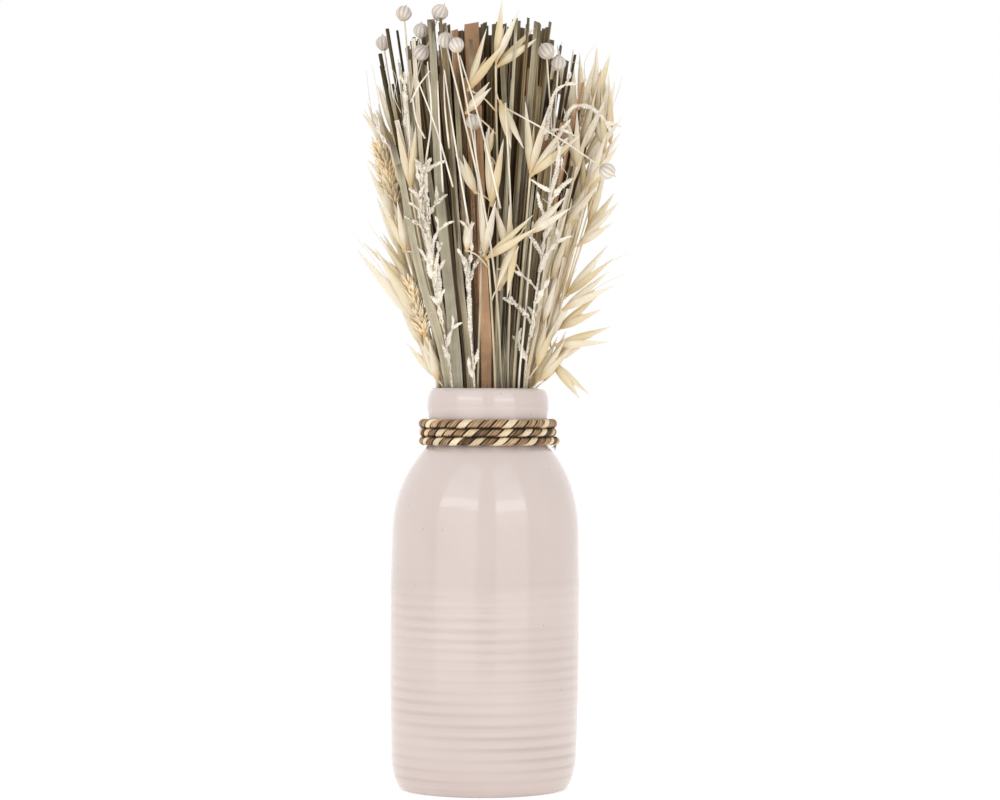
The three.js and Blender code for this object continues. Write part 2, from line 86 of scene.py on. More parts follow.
# The vase's outline as Bezier pieces of (radius, height), each with its number of steps.
VASE_OUTLINE = [
    ([(0.3, 0), (34.2, 0)], 6),
    ([(34.2, 0), (38, 1.5), (39.3, 12)], 24),
    ([(39.3, 12), (40, 45)], 36),
    ([(40, 45), (40, 85)], 42),
    ([(40, 85), (39.5, 108)], 14),
    ([(39.5, 108), (39.3, 124), (34.5, 134.5), (26, 144.3)], 22),
    ([(26, 144.3), (25.1, 145), (25.1, 146.5)], 4),
    ([(25.1, 146.5), (25.1, 154.5)], 4),
    ([(25.1, 154.5), (25.1, 157), (25.8, 160.5)], 6),
    ([(25.8, 160.5), (26.1, 165), (25, 169), (22.4, 169)], 12),
    ([(22.4, 169), (21.4, 169), (21.4, 166)], 8),
    ([(21.4, 166), (21.4, 147)], 6),
    ([(21.4, 147), (29.5, 136), (35, 124), (35.3, 108)], 12),
    ([(35.3, 108), (35.6, 45), (35.1, 14)], 12),
    ([(35.1, 14), (34, 5), (27, 5)], 8),
    ([(27, 5), (0.3, 5)], 6),
]
# The first piece is the bare foot, and the lip's crest ends the outside.
OUTSIDE_PIECES = 10
CREST_RADII = (21.6, 24)

# How deep the throwing rings are, by height, as a share of their full depth. A ring climbs a little on one
# side and drifts up and down the wall, and a finger leaves finer ones between two of them.
RING_STRENGTH = ([1, 5, 20, 50, 76, 97], [0, 0.9, 1, 0.75, 0.5, 0])
RING_SHARPNESS = 2.2
RING_CLIMB = 0.12
RING_DRIFT = 0.6
FINER_RINGS = 0.3

# How far the hand-thrown wall stands to one side of its axis, by height, and how far it is out of round.
# That sets in above the foot and ends at the shoulder.
WALL_SWAY = ([0, 30, 85, 122, 145, 169], [-0.7, -0.3, 0, 0.35, 1.3, 1.3])
OUT_OF_ROUND = 0.12
ABOVE_FOOT = (2, 20)
SHOULDER = (132, 144)

# The cord's middle line, and a near-black tube inside it that its two plies hide: painted shade that
# darkens the gaps between the plies and the turns.
CORD_COIL_RADIUS = 27.2
CORD_TURNS = 2.9
CORD_PITCH = 3.6
CORD_START_Z = 146.8
# The part of each turn, at the back, over which it climbs to the next one.
CORD_CLIMB = (0.5, 0.93)
# How far the first end stands off the neck, and the part of a turn over which it comes back to it.
END_STANDS_OFF = 1.4
END_REACH = 0.035
CORD_STEPS = 1000
SHADE_CORE_RADIUS = 1.42
# How thick the cord is, by turn, as a share: the top turn is less tightly wound.
CORD_SWELL = ([0, 1.85, 2.05, 2.9], [0.95, 0.98, 1.05, 1.05])
TOP_TURN = 1.95
# A ply's grasses, and the faces around each.
GRASSES = 6
GRASS_FACES = 4
# The tones of the cord's twists as they come round to the outside: 0 is dark grass and 1 is cream.
LOWER_TWISTS = [0.95, 0.3, 0.9, 0.5, 0.15, 1.0, 0.25, 0.65, 0.9, 0.35, 0.75, 0.2, 1.0, 0.45]
TOP_TWISTS = [1.0, 0.5, 0.32, 0.62]
# Frayed grasses at the cut end: how far each leans and hangs.
FRAYED_GRASSES = [(-0.7, 1.9), (-0.35, 2.6), (-1.3, 1.6)]

# Leaf strips: slot, via, tip, width at the mouth, width at the tip, the degrees that they are turned and
# twisted, and shade. The first ones are whole and the others torn in two. The last ones stand at the back.
STRIP_ROWS = 48
SMALL_STRIP_ROWS = 30
WHOLE_STRIPS = 4
FIRST_BACK_STRIP = 18
EDGE_CURL = 0.1
LEAF_STRIPS = [
    ((-12, -11.6), (-27, -18.5, 225), (-38, -22, 270), 4.2, 2.8, -14, -20, 0.78),
    ((-5.5, -12), (-16, -19.5, 240), (-22.4, -25, 322), 5.6, 3.0, 0, 0, 0.5),
    ((7, -12), (10, -18, 240), (6.5, -25, 320), 2.4, 2.0, 6, 0, 0.62),
    ((11.6, -11.6), (18, -17.5, 240), (22, -25, 321), 2.6, 2.4, 12, 20, 0.42),
    ((-12.3, -7), (-22, -11, 235), (-31, -16, 300), 3.6, 3.0, -10, -35, 0.6),
    ((-6.3, -7.2), (-11, -12, 245), (-13.5, -16.5, 306), 3.8, 3.2, 5, 0, 0.62),
    ((5, -7.2), (8.5, -11.5, 245), (13, -16.5, 323), 3.6, 3.2, -6, 0, 0.5),
    ((10.6, -7), (18, -11, 245), (28, -16, 322), 3.6, 3.2, 8, 35, 0.55),
    ((-14, -2.4), (-25, -4.2, 245), (-36, -6, 306), 4.4, 3.6, -12, -62, 0.5),
    ((-7.6, -2.6), (-13.5, -4.4, 245), (-18, -6, 318), 4.4, 3.8, 8, -40, 0.5),
    ((-1, -2.6), (-1.5, -4.4, 245), (-1, -6.5, 323), 4.6, 4, -4, 0, 0.38),
    ((5.8, -2.6), (9.5, -4.4, 245), (14.5, -6.5, 322), 4.4, 3.8, 10, 35, 0.36),
    ((12.6, -2.4), (21.5, -2.6, 245), (32, -1.5, 314), 4.4, 3.8, 12, 62, 0.45),
    ((-11.8, 2.2), (-20, 3.8, 245), (-27, 6, 314), 4.6, 3.8, 8, -75, 0.45),
    ((-4.6, 2.2), (-8, 4, 245), (-10, 6, 321), 4.6, 3.8, -8, 30, 0.3),
    ((2.6, 2.2), (4.5, 4, 245), (7, 6, 322), 4.6, 3.8, 8, -40, 0.3),
    ((9.8, 2.2), (16.5, 3.8, 245), (24, 6, 316), 4.6, 3.8, -8, 75, 0.4),
    ((-9.4, 6.8), (-16, 12, 245), (-21, 17, 306), 4.4, 3.4, 10, 40, 0.66),
    ((-1, 7), (-1.5, 12.5, 245), (-1, 18.5, 317), 4.4, 3.4, -6, 0, 0.75),
    ((7.6, 6.8), (13, 12, 245), (18, 17, 311), 4.4, 3.4, -10, -40, 0.6),
]

# Narrow strips at the front and the sides, most of them short: slot, tip, width and shade.
SHORT_STRIPS = [
    ((5.2, -15.6), (11.7, -25.5, 297), 1.8, 0.62),
    ((8, -15), (16.4, -27, 290), 2.2, 0.72),
    ((10.6, -14), (19.6, -27, 285.5), 1.5, 0.8),
    ((13.2, -12.6), (22.8, -26, 294), 1.8, 0.45),
    ((-4.8, -15.2), (-12, -27, 296), 1.8, 0.6),
    ((-9.4, -13.6), (-24, -24, 262), 2.2, 0.66),
    ((-14.6, -9.6), (-33, -17, 284), 2.0, 0.35),
    ((-15.6, -5.4), (-34.5, -9, 300), 1.8, 0.5),
    ((-13, -9.4), (-28, -17, 309), 1.7, 0.2),
    ((16.4, -5), (28, -8, 262), 2.0, 0.3),
    ((15.2, -9), (25, -15, 252), 1.8, 0.25),
    ((14.2, -12.4), (24, -22, 268), 1.7, 0.5),
    ((15.6, -11), (28, -20, 274), 2.2, 0.42),
    ((12.2, -13.8), (20.5, -25, 256), 1.2, 0.9),
    ((17, -8.4), (31.5, -15, 281), 2.0, 0.45),
    ((-12.4, -12), (-28, -23, 297), 1.5, 0.2),
    ((-11, -13.4), (-24.5, -25, 303), 1.2, 0.98),
    ((-13.8, -10.6), (-31, -20, 289), 1.3, 0.8),
    ((-8.2, -15), (-18.5, -27.5, 299), 1.1, 0.3),
    ((-6.8, -15.8), (-14.2, -28, 284), 1.0, 0.95),
    ((-16, -7.6), (-35.5, -13, 274), 1.8, 0.85),
    ((16.2, -7.6), (34.5, -15, 306), 1.6, 0.05),
    ((17.4, -5.6), (39.5, -10, 286), 1.5, 0.0),
    ((17.9, -3.4), (42.5, -7, 272), 1.5, 0.1),
    ((16.8, -6.2), (36.5, -12, 262), 1.4, 0.0),
]

# Strips that lie before the others, broad and grey-green or narrow and dark: slot, via, tip, both widths
# and shade. The narrow, near-black ones are painted shade: dark sheets that stand in for the shadow between
# the strips.
BROAD_STRIPS = [
    ((-11.5, -15.2), (-18.4, -24, 247), (-21.9, -29, 321), 7.4, 2.7, 0.8),
    ((-14.8, -12.6), (-27.2, -21.5, 218), (-35.5, -24, 262), 5.6, 2.6, 0.76),
    ((-5.6, -16), (-10.2, -21, 214), (-14.4, -24.5, 268), 6.4, 1.4, 0.62),
    ((-7.6, -15.8), (-13.4, -23.6, 225), (-17.8, -27.4, 268), 1.7, 1.3, 0.0),
    ((-2.6, -16.8), (-5, -22.4, 215), (-6.8, -26, 256), 1.9, 1.3, 0.0),
    ((3.4, -16.6), (4.2, -22.6, 215), (5.4, -26.8, 264), 1.7, 1.3, 0.05),
    ((9.4, -15.4), (13.2, -21.8, 215), (17.2, -26.2, 262), 1.6, 1.3, 0.05),
]

# Inner strips in rows: the row's place from front to back, its share of them, the range of their widths and
# the range of their shades. The dark shades of the middle rows are painted shade, so that the gaps between
# the strips read dark.
INNER_ROWS = [
    (-14.6, 0.08, 0.8, 1.4, 0.05, 0.95),
    (-11.2, 0.08, 0.9, 1.6, -0.3, 0.75),
    (-8.9, 0.12, 1.1, 2.1, -0.25, 0.6),
    (-4.9, 0.16, 1.6, 2.6, -0.3, 0.4),
    (-0.2, 0.13, 3.0, 4.6, -0.1, 0.3),
    (4.5, 0.13, 3.0, 4.6, -0.1, 0.25),
    (9.2, 0.15, 1.5, 2.6, 0.0, 0.55),
    (13.6, 0.13, 1.0, 1.9, 0.35, 0.85),
]
# They fill the mouth, fan out above it and end at one of a few heights, each with its share. At the sides
# the fan's top slopes down, and the strips face outward, by so many degrees for each millimetre.
INNER_STRIP_ROWS = 28
BUNCH_RADIUS = 15.4
NARROWEST_ROW = 10.5
FAN_SPREAD = 1.38
FAN_HEIGHT = 155
HALF_WAY_SPREAD = 0.46
STRIP_TOPS = {321.5: 0.28, 320.5: 0.2, 318: 0.18, 314: 0.14, 305: 0.12, 292: 0.08}
LEVEL_HALF_WIDTH = 10.5
SIDE_SLOPE = 2.2
TURN_OUTWARD = 3.5
# The place at the front, from left to right, that they leave to the copper sheath and a dark gap beside it.
SHEATH_GAP = (-6.8, 5.2)

# Bleached leaves among the oats at both sides: slot, via, tip, width at the mouth and at the tip.
BLEACHED_LEAVES = [
    ((16.6, -9.8), (25, -15, 212), (35, -19, 252), 3.6, 1.6),
    ((17.6, -6.6), (27.5, -9, 208), (38, -10, 246), 3.2, 1.4),
    ((17.8, -2.4), (28.5, -3, 212), (41, -2, 262), 3.8, 1.8),
    ((17.4, 1.6), (27, 3, 216), (38.5, 5, 268), 3.6, 1.6),
    ((15.4, 6.2), (24.5, 11, 218), (34, 16, 262), 3.6, 1.6),
    ((16.2, -7.6), (22.5, -16, 200), (27, -20, 232), 2.6, 1.2),
    ((-15, -10.4), (-25.5, -17, 222), (-33, -21, 262), 2.8, 1.3),
    ((-17.2, -2.8), (-28.5, -5, 222), (-39, -7, 262), 3.2, 1.5),
    ((-17.6, 3), (-27.5, 6, 222), (-37, 10, 258), 3.4, 1.5),
    ((-14.4, -8.2), (-24, -14, 240), (-31.5, -18, 306), 2.2, 1.2),
    ((-16, -6.4), (-27, -10, 240), (-35, -12, 292), 2.4, 1.2),
    ((-16.4, -0.6), (-30, -2, 240), (-40, -3, 288), 2.4, 1.2),
    ((17, -11.4), (22, -15, 195), (26, -17, 222), 2.6, 1.2),
    ((19, -7), (27, -9, 195), (33.5, -11, 224), 2.8, 1.3),
    ((19.4, -2.4), (29, -3, 200), (38, -4, 236), 2.8, 1.3),
    ((18.4, 3.6), (28.5, 6, 205), (38, 9, 246), 2.8, 1.3),
    ((-13.4, -12.2), (-24, -21.5, 240), (-29.6, -26, 314), 1.7, 1.8),
    ((-15.4, -9.6), (-27, -20, 240), (-33.4, -25, 292), 1.7, 2.0),
    ((-14.6, -11.4), (-27.5, -22, 244), (-36.5, -26, 280), 1.6, 2.0),
]

# The sheaths, named for their solids, and thinner shreds of them: slot, via, tip and both widths.
SHEATHS = {
    "copper_sheath_front": ((1.2, -13), (-1, -20.5, 225), (-2.2, -25, 286), 9.2, 2.2),
    "copper_sheath_back": ((-0.7, -7.2), (-2.4, -12, 245), (-5.5, -17, 321.4), 4.8, 6.0),
}

SHEATH_SHREDS = [
    ((-4, -9.8), (-9, -16.5, 245), (-12.5, -22, 318), 2.2, 2.8),
    ((-6.6, -9.4), (-13, -16, 245), (-17.4, -21, 311), 1.6, 2.2),
    ((-2.4, -10.4), (-5, -17.5, 245), (-8, -24, 298), 1.4, 1.8),
    ((13.8, -9), (22, -15, 245), (27.5, -20, 286), 2.2, 2.6),
    ((15.6, -7.4), (25, -12, 245), (32.5, -16, 280), 1.5, 1.7),
    ((9, -10), (14.6, -17, 240), (18.6, -23, 302), 1.2, 1.6),
    ((16.8, -6.6), (27.5, -10.5, 235), (41, -13, 297), 1.1, 1.4),
    ((17.8, -4.4), (30, -8, 232), (45, -9, 286), 1.0, 1.3),
]

# Dark stalks: slot, tip, radius at the foot and shade. The broken ones have no solid of their own.
STALK_RIBS = 4
STALK_FACES = 12
DARK_STALKS = {
    "dark_stalk_1": [((-16.8, -5), (-41, -9.5, 320), 0.85, 0.5)],
    "dark_stalk_2": [((-17.2, 1.8), (-44.5, 4, 311), 0.95, 0.4)],
    "dark_stalks_broken": [
        ((-15.4, -1.2), (-37, -3.4, 320), 0.6, 0.1),
        ((-14.8, 1.6), (-37.6, 5, 300), 0.75, 0.0),
        ((12.4, -4.6), (38, -10, 309), 0.6, 0.2),
        ((-17.6, -8.4), (-43.2, -14, 304), 0.95, 0.35),
        ((-15.2, -10.6), (-38.4, -17, 296), 0.6, 0.15)],
}

# Oats: slot, vias, tip, the side that they face, and their spikelets. A spikelet is its base (x, y, z),
# its lean to the right in degrees, its length, the angle between its husks and, at times, a husk's width.
# One that leans further than HANGING_LEAN has its stalk leave the stem above it.
HANGING_LEAN = 100
LONGEST_STALK = 9
AWN_SHARE = 0.2
OATS = {
    "oat_centre_top": ((4.5, -19.4), [(5.5, -25, 235)], (4.6, -31, 302), 0, [
        (4.9, -32, 304, 15, 24, 18), (5.4, -30, 302, 50, 21, 12),
        (-6.5, -33, 292, 27, 25, 20), (6.5, -33, 287, 161, 21, 12), (-7.4, -33, 282.6, 40, 15, 8),
        (1, -30, 265, 8, 12, 8), (3, -31, 244.5, 3, 29, 14), (-3.7, -31, 249.8, -24, 17, 8)]),
    "oat_centre_right": ((11.9, -16.1), [(15.5, -22, 215)], (18.8, -29, 256), 0, [
        (19, -29, 258, 6, 28, 18), (19.4, -29.5, 257, 43, 27, 17),
        (13, -31, 231, -165, 24, 12), (11, -28.5, 222, -10, 24, 14), (19, -31, 233, 52, 20, 15)]),
    "oat_middle": ((4.4, -19.6), [(3, -24, 200)], (1.6, -30, 222), 0, [
        (1, -33, 222.5, 53, 25, 12), (0, -30, 224, 4, 24, 14), (6.2, -29, 210, 19, 20.5, 9),
        (-7.4, -29, 226, 5, 13, 9)]),
    "oat_left": ((-13.6, -14.8), [(-24, -20, 215)], (-30.5, -24.5, 250), 0, [
        (-30.5, -25, 252, -5, 27, 17), (-33, -22, 226, -18, 22, 16)]),
    "oat_left_top": ((-20, 1.5), [(-31, 0, 225)], (-37, -2, 265), 0, [
        (-37.5, -3, 267, -31, 22, 14), (-36, -5, 274, -14, 23, 14), (-35.5, 1, 252, -38, 19, 18)]),
    "oat_right_edge": ((18.7, -4.6), [(28, -8, 190), (36, -11, 223)], (43.5, -13, 255), 0, [
        (28.5, -10, 180, 138, 20, 10), (29, -5, 181, 57, 14, 16), (30, -12, 187, 79, 23, 13),
        (31, -6, 194, 58, 21, 16), (33, -12, 202, 57, 24, 14), (34.5, -8, 208, 46, 26, 12),
        (39.5, -14, 229, 50, 18, 14), (43.5, -13, 254, 28, 22, 18)]),
    "oat_right_top": ((20, -0.6), [(31, -1, 225)], (40, -4.5, 280), 0, [
        (36, -4.5, 284, -4, 29, 12), (41, -4.5, 284, 5, 25, 14), (46, -5.5, 289, 11, 23, 15),
        (41.5, -5, 263, 34, 27, 12), (37, 2, 262, 8, 26, 14)]),
    "oat_side_right": ((18.4, 7.4), [(29, 12, 215)], (37, 17, 255), 70, [
        (37.5, 17, 256, 4, 27, 20), (35.5, 22, 238, 44, 22, 16), (34, 10, 226, -34, 22, 14),
        (30.5, 17, 208, 48, 24, 14), (26, 10, 190, -4, 19, 14)]),
    "oat_back_left": ((-13, 15), [(-20, 24, 230)], (-25, 32, 288), 210, [
        (-25, 32.5, 290, 3, 26, 18), (-28, 30, 272, 38, 24, 15), (-20, 32, 262, -36, 24, 15),
        (-24, 26, 236, 16, 23, 14), (-16, 27, 222, -38, 22, 16)]),
    "oat_back_mid": ((-3.5, 10.8), [(-4, 22, 235)], (-3, 33, 300), 180, [
        (-3, 33.5, 302, -8, 24, 18), (2, 31, 284, -42, 24, 14), (-8, 31, 276, 34, 25, 16),
        (1, 26, 246, -30, 23, 14)]),
    "oat_back_right": ((16.2, 11.4), [(23, 20, 230)], (29, 27, 290), 145, [
        (29.5, 27.5, 292, 2, 26, 18), (33, 25, 274, -36, 25, 14), (24, 30, 264, 38, 24, 16),
        (27, 20, 238, -16, 23, 14), (20, 25, 226, 36, 22, 14)]),
}

# The large papery husks at the left, in the same way.
PAPERY_HUSKS = ((-17.2, -9.9), [(-23, -12, 190)], (-26.5, -14, 201), 0, [
    (-25, -15.5, 194, -37, 41, 9, 5.6), (-27, -13, 208, -41, 31, 12, 3.8),
    (-24, -14, 190, -29, 32, 17, 3.2), (-20.5, -11.5, 173.5, -34, 18, 13, 3.2)])

# Loose pairs of husks that fill the sprays all round: base, lean to the right in degrees and length.
LOOSE_SPREAD = 11
LOOSE_HUSKS = [
    (37.5, -1, 274, -4, 27), (43, -3, 271, 10, 27), (33.5, 1, 266, -7, 27), (47, -6, 276, 8, 21),
    (40, -8, 268, 20, 26), (44.5, -2, 258, 28, 24), (36, -9, 254, 12, 25), (31.5, -6, 246, 3, 24),
    (34.5, -11, 238, 34, 22), (28, -9, 214, 12, 24), (30.5, -5, 226, 22, 22), (24.5, -12, 196, 10, 21),
    (22, -13.5, 178, 16, 20), (21, -8, 170, 20, 24), (23.5, -4, 180, 10, 26), (26, -8, 188, 24, 24),
    (24, -10, 206, 4, 26), (27.5, -3, 212, 2, 28), (31.5, -1, 218, 14, 26), (33.5, -8, 224, 2, 26),
    (29.5, 0, 232, 8, 28), (37.5, -3, 240, 10, 26), (40.5, -7, 246, 26, 24), (42.5, -5, 234, 42, 20),
    (26, -14, 222, 16, 24), (38.5, -12, 262, -6, 24), (53, -5, 272, -6, 26), (50.5, -7, 268, -9, 26),
    (-31, -9, 226, -14, 22), (-34.5, -5, 240, -20, 22), (-19.5, -13, 172, -20, 18), (-38, -6, 262, -22, 26),
    (-41, -4, 266, -14, 24), (-36, -2, 272, -16, 26), (-38, -9, 240, -20, 24), (-35.5, -7, 226, -18, 24),
    (-32, -10, 214, -22, 22), (-29, -8, 200, -16, 22), (-26, -11, 186, -22, 22), (-31.5, -6, 282, -6, 25),
    (-29, -14, 262, -8, 24), (-33, -12, 250, -12, 24), (44, -4, 238, 12, 26), (42, -6, 246, 4, 24),
    (25, -7, 172, 30, 22), (23, -12, 172, 38, 20), (51, -5, 278, -2, 25), (49.5, -4, 276, 8, 24),
    (-33, 12, 234, -20, 24), (-36, 15, 256, -14, 24), (-29, 19, 218, -24, 22), (-27, 6, 196, -26, 22),
    (-22, 12, 182, -20, 22), (32, 19, 226, 18, 24), (35, 12, 246, 12, 26), (28, 24, 250, 6, 24),
    (22, 14, 186, 24, 22), (26, 12, 204, 22, 24), (10, 25, 214, 8, 22), (-9, 24, 208, -10, 22),
]

# Flax: slot, via, tip, the height where branches leave, their pods, and whether the tip itself has a pod.
RIB_FACES = 6
SEPALS = 5
FLAX = {
    "flax_left_a": ((-18.6, -6.8), (-27, -15, 245), (-33.6, -21, 325), 290,
                    [(-26.5, -21, 317.8), (-18.6, -22, 325.3), (-26.1, -27, 308)], True),
    "flax_left_b": ((-19.3, 5.2), (-32, 9, 245), (-43.5, 12, 316.5), 262, [(-26.9, 13, 311.3)], True),
    "flax_cross": ((7.1, -18.7), (2.5, -37, 228), (-16, -37, 312), 238, [(-11.5, -40, 309.6)], True),
    "flax_mid": ((-2.9, -19.8), (-1.5, -26, 228), (-4.4, -30, 279), 0, [], True),
    "flax_right": ((18.2, -8.2), (26, -15, 240), (30.7, -24, 304), 270, [(25.6, -27, 308.6)], True),
    "flax_kinked": ((9.6, -17.6), (11, -29, 235), (8.6, -39, 286), 284, [(50.5, -38, 258)], False),
    "flax_back_left": ((-16, 12), (-25, 20, 245), (-28, 28, 307), 282, [(-20, 30, 312)], True),
    "flax_back_right": ((19.7, 3.4), (31, 8, 245), (33, 15, 298), 272, [(41, 12, 284)], True),
}

# Canary grass: slot, the foot of the head, its direction if it leaves the stem's, its length and radius,
# and the stem's radius and rows. The low one has no solid and stands beside the papery husks.
CANARY_GRASS = {
    "canary_left": ((-19.6, -3.2), (-37.5, -8, 246), None, 29, 4.3, 0.8, 36),
    "canary_back": ((-17.9, 8.6), (-36, 19, 250), None, 29, 4.3, 0.8, 36),
    "canary_low": ((-15.6, -8.6), (-25.0, -14.6, 191), (-0.3, -0.1, 1.0), 26, 2.9, 0.7, 30),
}
BRACTS = 230
GOLDEN_ANGLE = 2.39996

# Statice: slot, via, tip, the side that it faces, and its twigs as (height on the stem, lean, length).
ROWS_TO_A_TOOTH = 5
FORKED_SHARE = 0.5
STATICE = {
    "statice_left": ((-13.4, -15.4), (-22, -25.5, 218), (-27, -28.5, 258), 0, [
        (257, 56, 13), (252, -14, 12), (246, 12, 13), (240, -20, 9), (236, 18, 11), (228, -16, 10),
        (222, 10, 14), (214, -20, 9), (206, 12, 11), (196, -12, 9), (186, 12, 9), (178, -14, 10),
        (243, -5, 16), (233, 5, 17), (226, -4, 18), (219, -6, 15), (211, 4, 16), (203, -5, 16)]),
    "statice_mid": ((-4.2, -19.3), (-6, -24, 195), (-6.6, -27, 220), 0, [
        (218, 8, 17), (215, -14, 13), (211, 14, 15), (208, -6, 16), (177, 16, 9), (173, -22, 10)]),
    "statice_right": ((16.3, -11.2), (21, -25, 205), (28, -32, 252), 0, [
        (250, -64, 10), (251, 14, 18), (246, 38, 14), (238, -24, 13), (231, 26, 14), (224, -30, 12),
        (217, 24, 15), (210, -46, 14), (204, 30, 13), (196, -36, 12), (189, 18, 11), (181, -28, 9)]),
    "statice_back": ((6, 11), (11, 21, 215), (14, 29, 258), 180, [
        (256, 24, 12), (250, -30, 12), (240, 34, 10), (230, -26, 12), (216, 30, 10)]),
}

# The thin straw at the front: slot, via and tip.
STRAW_FRONT = ((14.1, -14), (16.5, -19, 195), (20, -25, 238))

# Thin straws that lie across the front of the bunch, from their lower to their upper end.
CROSSING_STRAWS = [
    [(-30.6, -30, 287), (-27, -31, 294), (-22.6, -30, 300)],
    [(-24.6, -31, 272), (-28, -32, 279), (-29.8, -31, 289)],
    [(6.6, -33, 243), (-1.5, -35, 277), (-10.2, -34, 306)],
    [(-6.3, -31, 235), (-12.6, -33, 273), (-18.6, -31, 314)],
    [(-13, -30, 252), (-20, -31, 276), (-27.5, -29, 296)],
    [(-14.6, -30, 268), (-16.4, -31, 286), (-16.8, -31, 303)],
    [(-17.2, -30, 250), (-18.6, -31, 276), (-19.4, -30, 296)],
    [(-30.5, -27, 266), (-32, -28, 283), (-33.4, -27, 300)],
    [(-24.4, -28, 262), (-22, -30, 282), (-23.6, -29, 304)],
]

# Curled ribbons of statice that stand free of their stem.
CURLED_TWIGS = [
    [(25.5, -23, 272), (27, -25, 284), (29.5, -26, 292), (34.5, -25, 295.5)],
    [(33, -25, 280), (37, -28, 285.5), (44, -28, 285), (51, -26, 279)],
    [(-33, -28, 277), (-32.4, -29, 287), (-33.4, -28, 296)],
    [(-46.5, -12, 284), (-43.5, -14, 275), (-38.5, -16, 268), (-35, -17, 262)],
    [(19, -27, 262), (24, -31, 274), (32, -32, 276)],
]

# Hair-fine broken awns at the bouquet's edges.
FINE_HAIRS = [
    [(-46, -5, 277), (-48.5, -5, 290), (-50, -4, 303)],
    [(-43, -6, 279), (-45, -6, 292), (-47.5, -6, 305)],
    [(-41, -8, 286), (-43, -8, 297), (-41, -8, 308)],
    [(52, -4, 284), (55.5, -4, 292), (58, -4, 301)],
    [(49, -9, 276), (52, -9, 284), (53.5, -9, 293)],
    [(42.5, -6, 298), (42, -6, 306), (44.5, -6, 311), (47.6, -6, 314.5)],
    [(41.5, -10, 291), (41.8, -11, 300), (39.8, -12, 304.6), (35, -14, 306)],
    [(27, -33, 277), (31, -34, 272), (28.6, -34, 266), (33, -33, 261)],
    [(30.5, -33, 270), (26.6, -34, 264), (30.4, -34, 259), (28, -33, 254)],
    [(35, -32, 268), (31, -33, 262), (34.4, -33, 256), (30, -33, 251)],
    [(24, -33, 247), (28, -34, 243), (25.4, -34, 238), (29.6, -33, 234)],
    [(-34.6, -27, 283), (-37.6, -26, 290), (-36.4, -26, 297), (-39.6, -25, 303)],
]


# ------------------------------------------------------------------ stage, in metres and degrees

# Each softbox: side, azimuth, width and the height of its tube.
SOFTBOXES = [("left", -35, 0.46, 0.324), ("right", 32, 0.354, 0.287)]
FLOOR_REACH = 1.3
# The camera looks level at the bouquet's front.
CAMERA_PLACE = (0.0064, -1.3, 0.164)
CAMERA_LENS_MM = 110.6
CAMERA_SENSOR_MM = 36


# ------------------------------------------------------------------ shapes

def solids_of(name):
    """The CAD node of that name as a list, which is empty if there is none."""
    return [name] if name in frame["nodes"] else []


def unit(vectors):
    """Vectors brought to length one."""
    return vectors / np.maximum(np.linalg.norm(vectors, axis=-1, keepdims=True), 1e-9)


def square_to(along, vectors):
    """Vectors turned square to the given directions, at length one."""
    return unit(vectors - (vectors * along).sum(axis=-1, keepdims=True) * along)


def angles(sides):
    """Even angles round a circle."""
    return np.arange(sides) * 2 * math.pi / sides


def circle(sides):
    """Even points round a unit circle."""
    return np.stack([np.cos(angles(sides)), np.sin(angles(sides))], axis=1)


def spokes(direction, reference, turns):
    """Unit vectors square to a direction, turned about it by the given angles."""
    across = unit(np.cross(direction, reference))
    turns = np.asarray(turns)[..., None]
    return np.cos(turns) * across + np.sin(turns) * np.cross(direction, across)


def distances(points):
    """How far along a line each of its points lies."""
    return np.concatenate([[0], np.cumsum(np.linalg.norm(np.diff(points, axis=0), axis=1))])


def bezier(controls, steps):
    """Points of a Bezier piece of any degree, without its last one."""
    controls = np.array(controls, float)
    t = np.linspace(0, 1, steps, endpoint=False)[:, None]
    degree = len(controls) - 1
    weights = [math.comb(degree, i) * t**i * (1 - t) ** (degree - i) for i in range(degree + 1)]
    return sum(weight * control for weight, control in zip(weights, controls))


# How finely each piece of a spline is drawn before its points are spaced evenly.
SPLINE_STEPS = 24


def smooth_way(points, count):
    """Evenly spaced points of a centripetal spline through the given ones."""
    p = np.array(points, float)
    p = np.vstack([2 * p[0] - p[1], p, 2 * p[-1] - p[-2]])
    gap = np.linalg.norm(np.diff(p, axis=0), axis=1) ** 0.5
    t = np.linspace(0, 1, SPLINE_STEPS, endpoint=False)[:, None]
    line = []
    for i in range(1, len(p) - 2):
        a, b, c, d = p[i - 1 : i + 3]
        g0, g1, g2 = gap[i - 1 : i + 2]
        leave = g1 * ((b - a) / g0 - (c - a) / (g0 + g1) + (c - b) / g1)
        arrive = g1 * ((c - b) / g1 - (d - b) / (g1 + g2) + (d - c) / g2)
        line.append(
            (2 * t**3 - 3 * t**2 + 1) * b
            + (t**3 - 2 * t**2 + t) * leave
            + (3 * t**2 - 2 * t**3) * c
            + (t**3 - t**2) * arrive
        )
    line = np.vstack(line + [p[-2:-1]])
    run = distances(line)
    stops = np.linspace(0, run[-1], count)
    return np.stack([np.interp(stops, run, line[:, axis]) for axis in range(3)], axis=1)


def stem_way(slot, vias, tip, count=40):
    """The way of a stem from the vase's floor, through its slot in the mouth, to its tip."""
    x, y = slot
    foot = (x * FOOT_SPREAD, y * FOOT_SPREAD, FOOT_Z)
    return smooth_way([foot, (x, y, LIP_Z), *vias, tip], count)


def at_height(way, z):
    """The point of a rising way at a height."""
    return np.array([np.interp(z, way[:, 2], way[:, axis]) for axis in range(3)])


def side_of(facing):
    """Outward and right-hand directions of a bouquet side: 0 is the front, 90 its right, 180 the back."""
    angle = math.radians(facing)
    outward = np.array([math.sin(angle), -math.cos(angle), 0.0])
    return outward, np.array([math.cos(angle), math.sin(angle), 0.0])


def leaned(side, degrees, outwards=0.12):
    """Up, leaned by degrees to the right as seen from that side of the bouquet."""
    outward, right = side
    lean = math.radians(degrees)
    return unit(np.array([0, 0, math.cos(lean)]) + math.sin(lean) * right + outwards * outward)


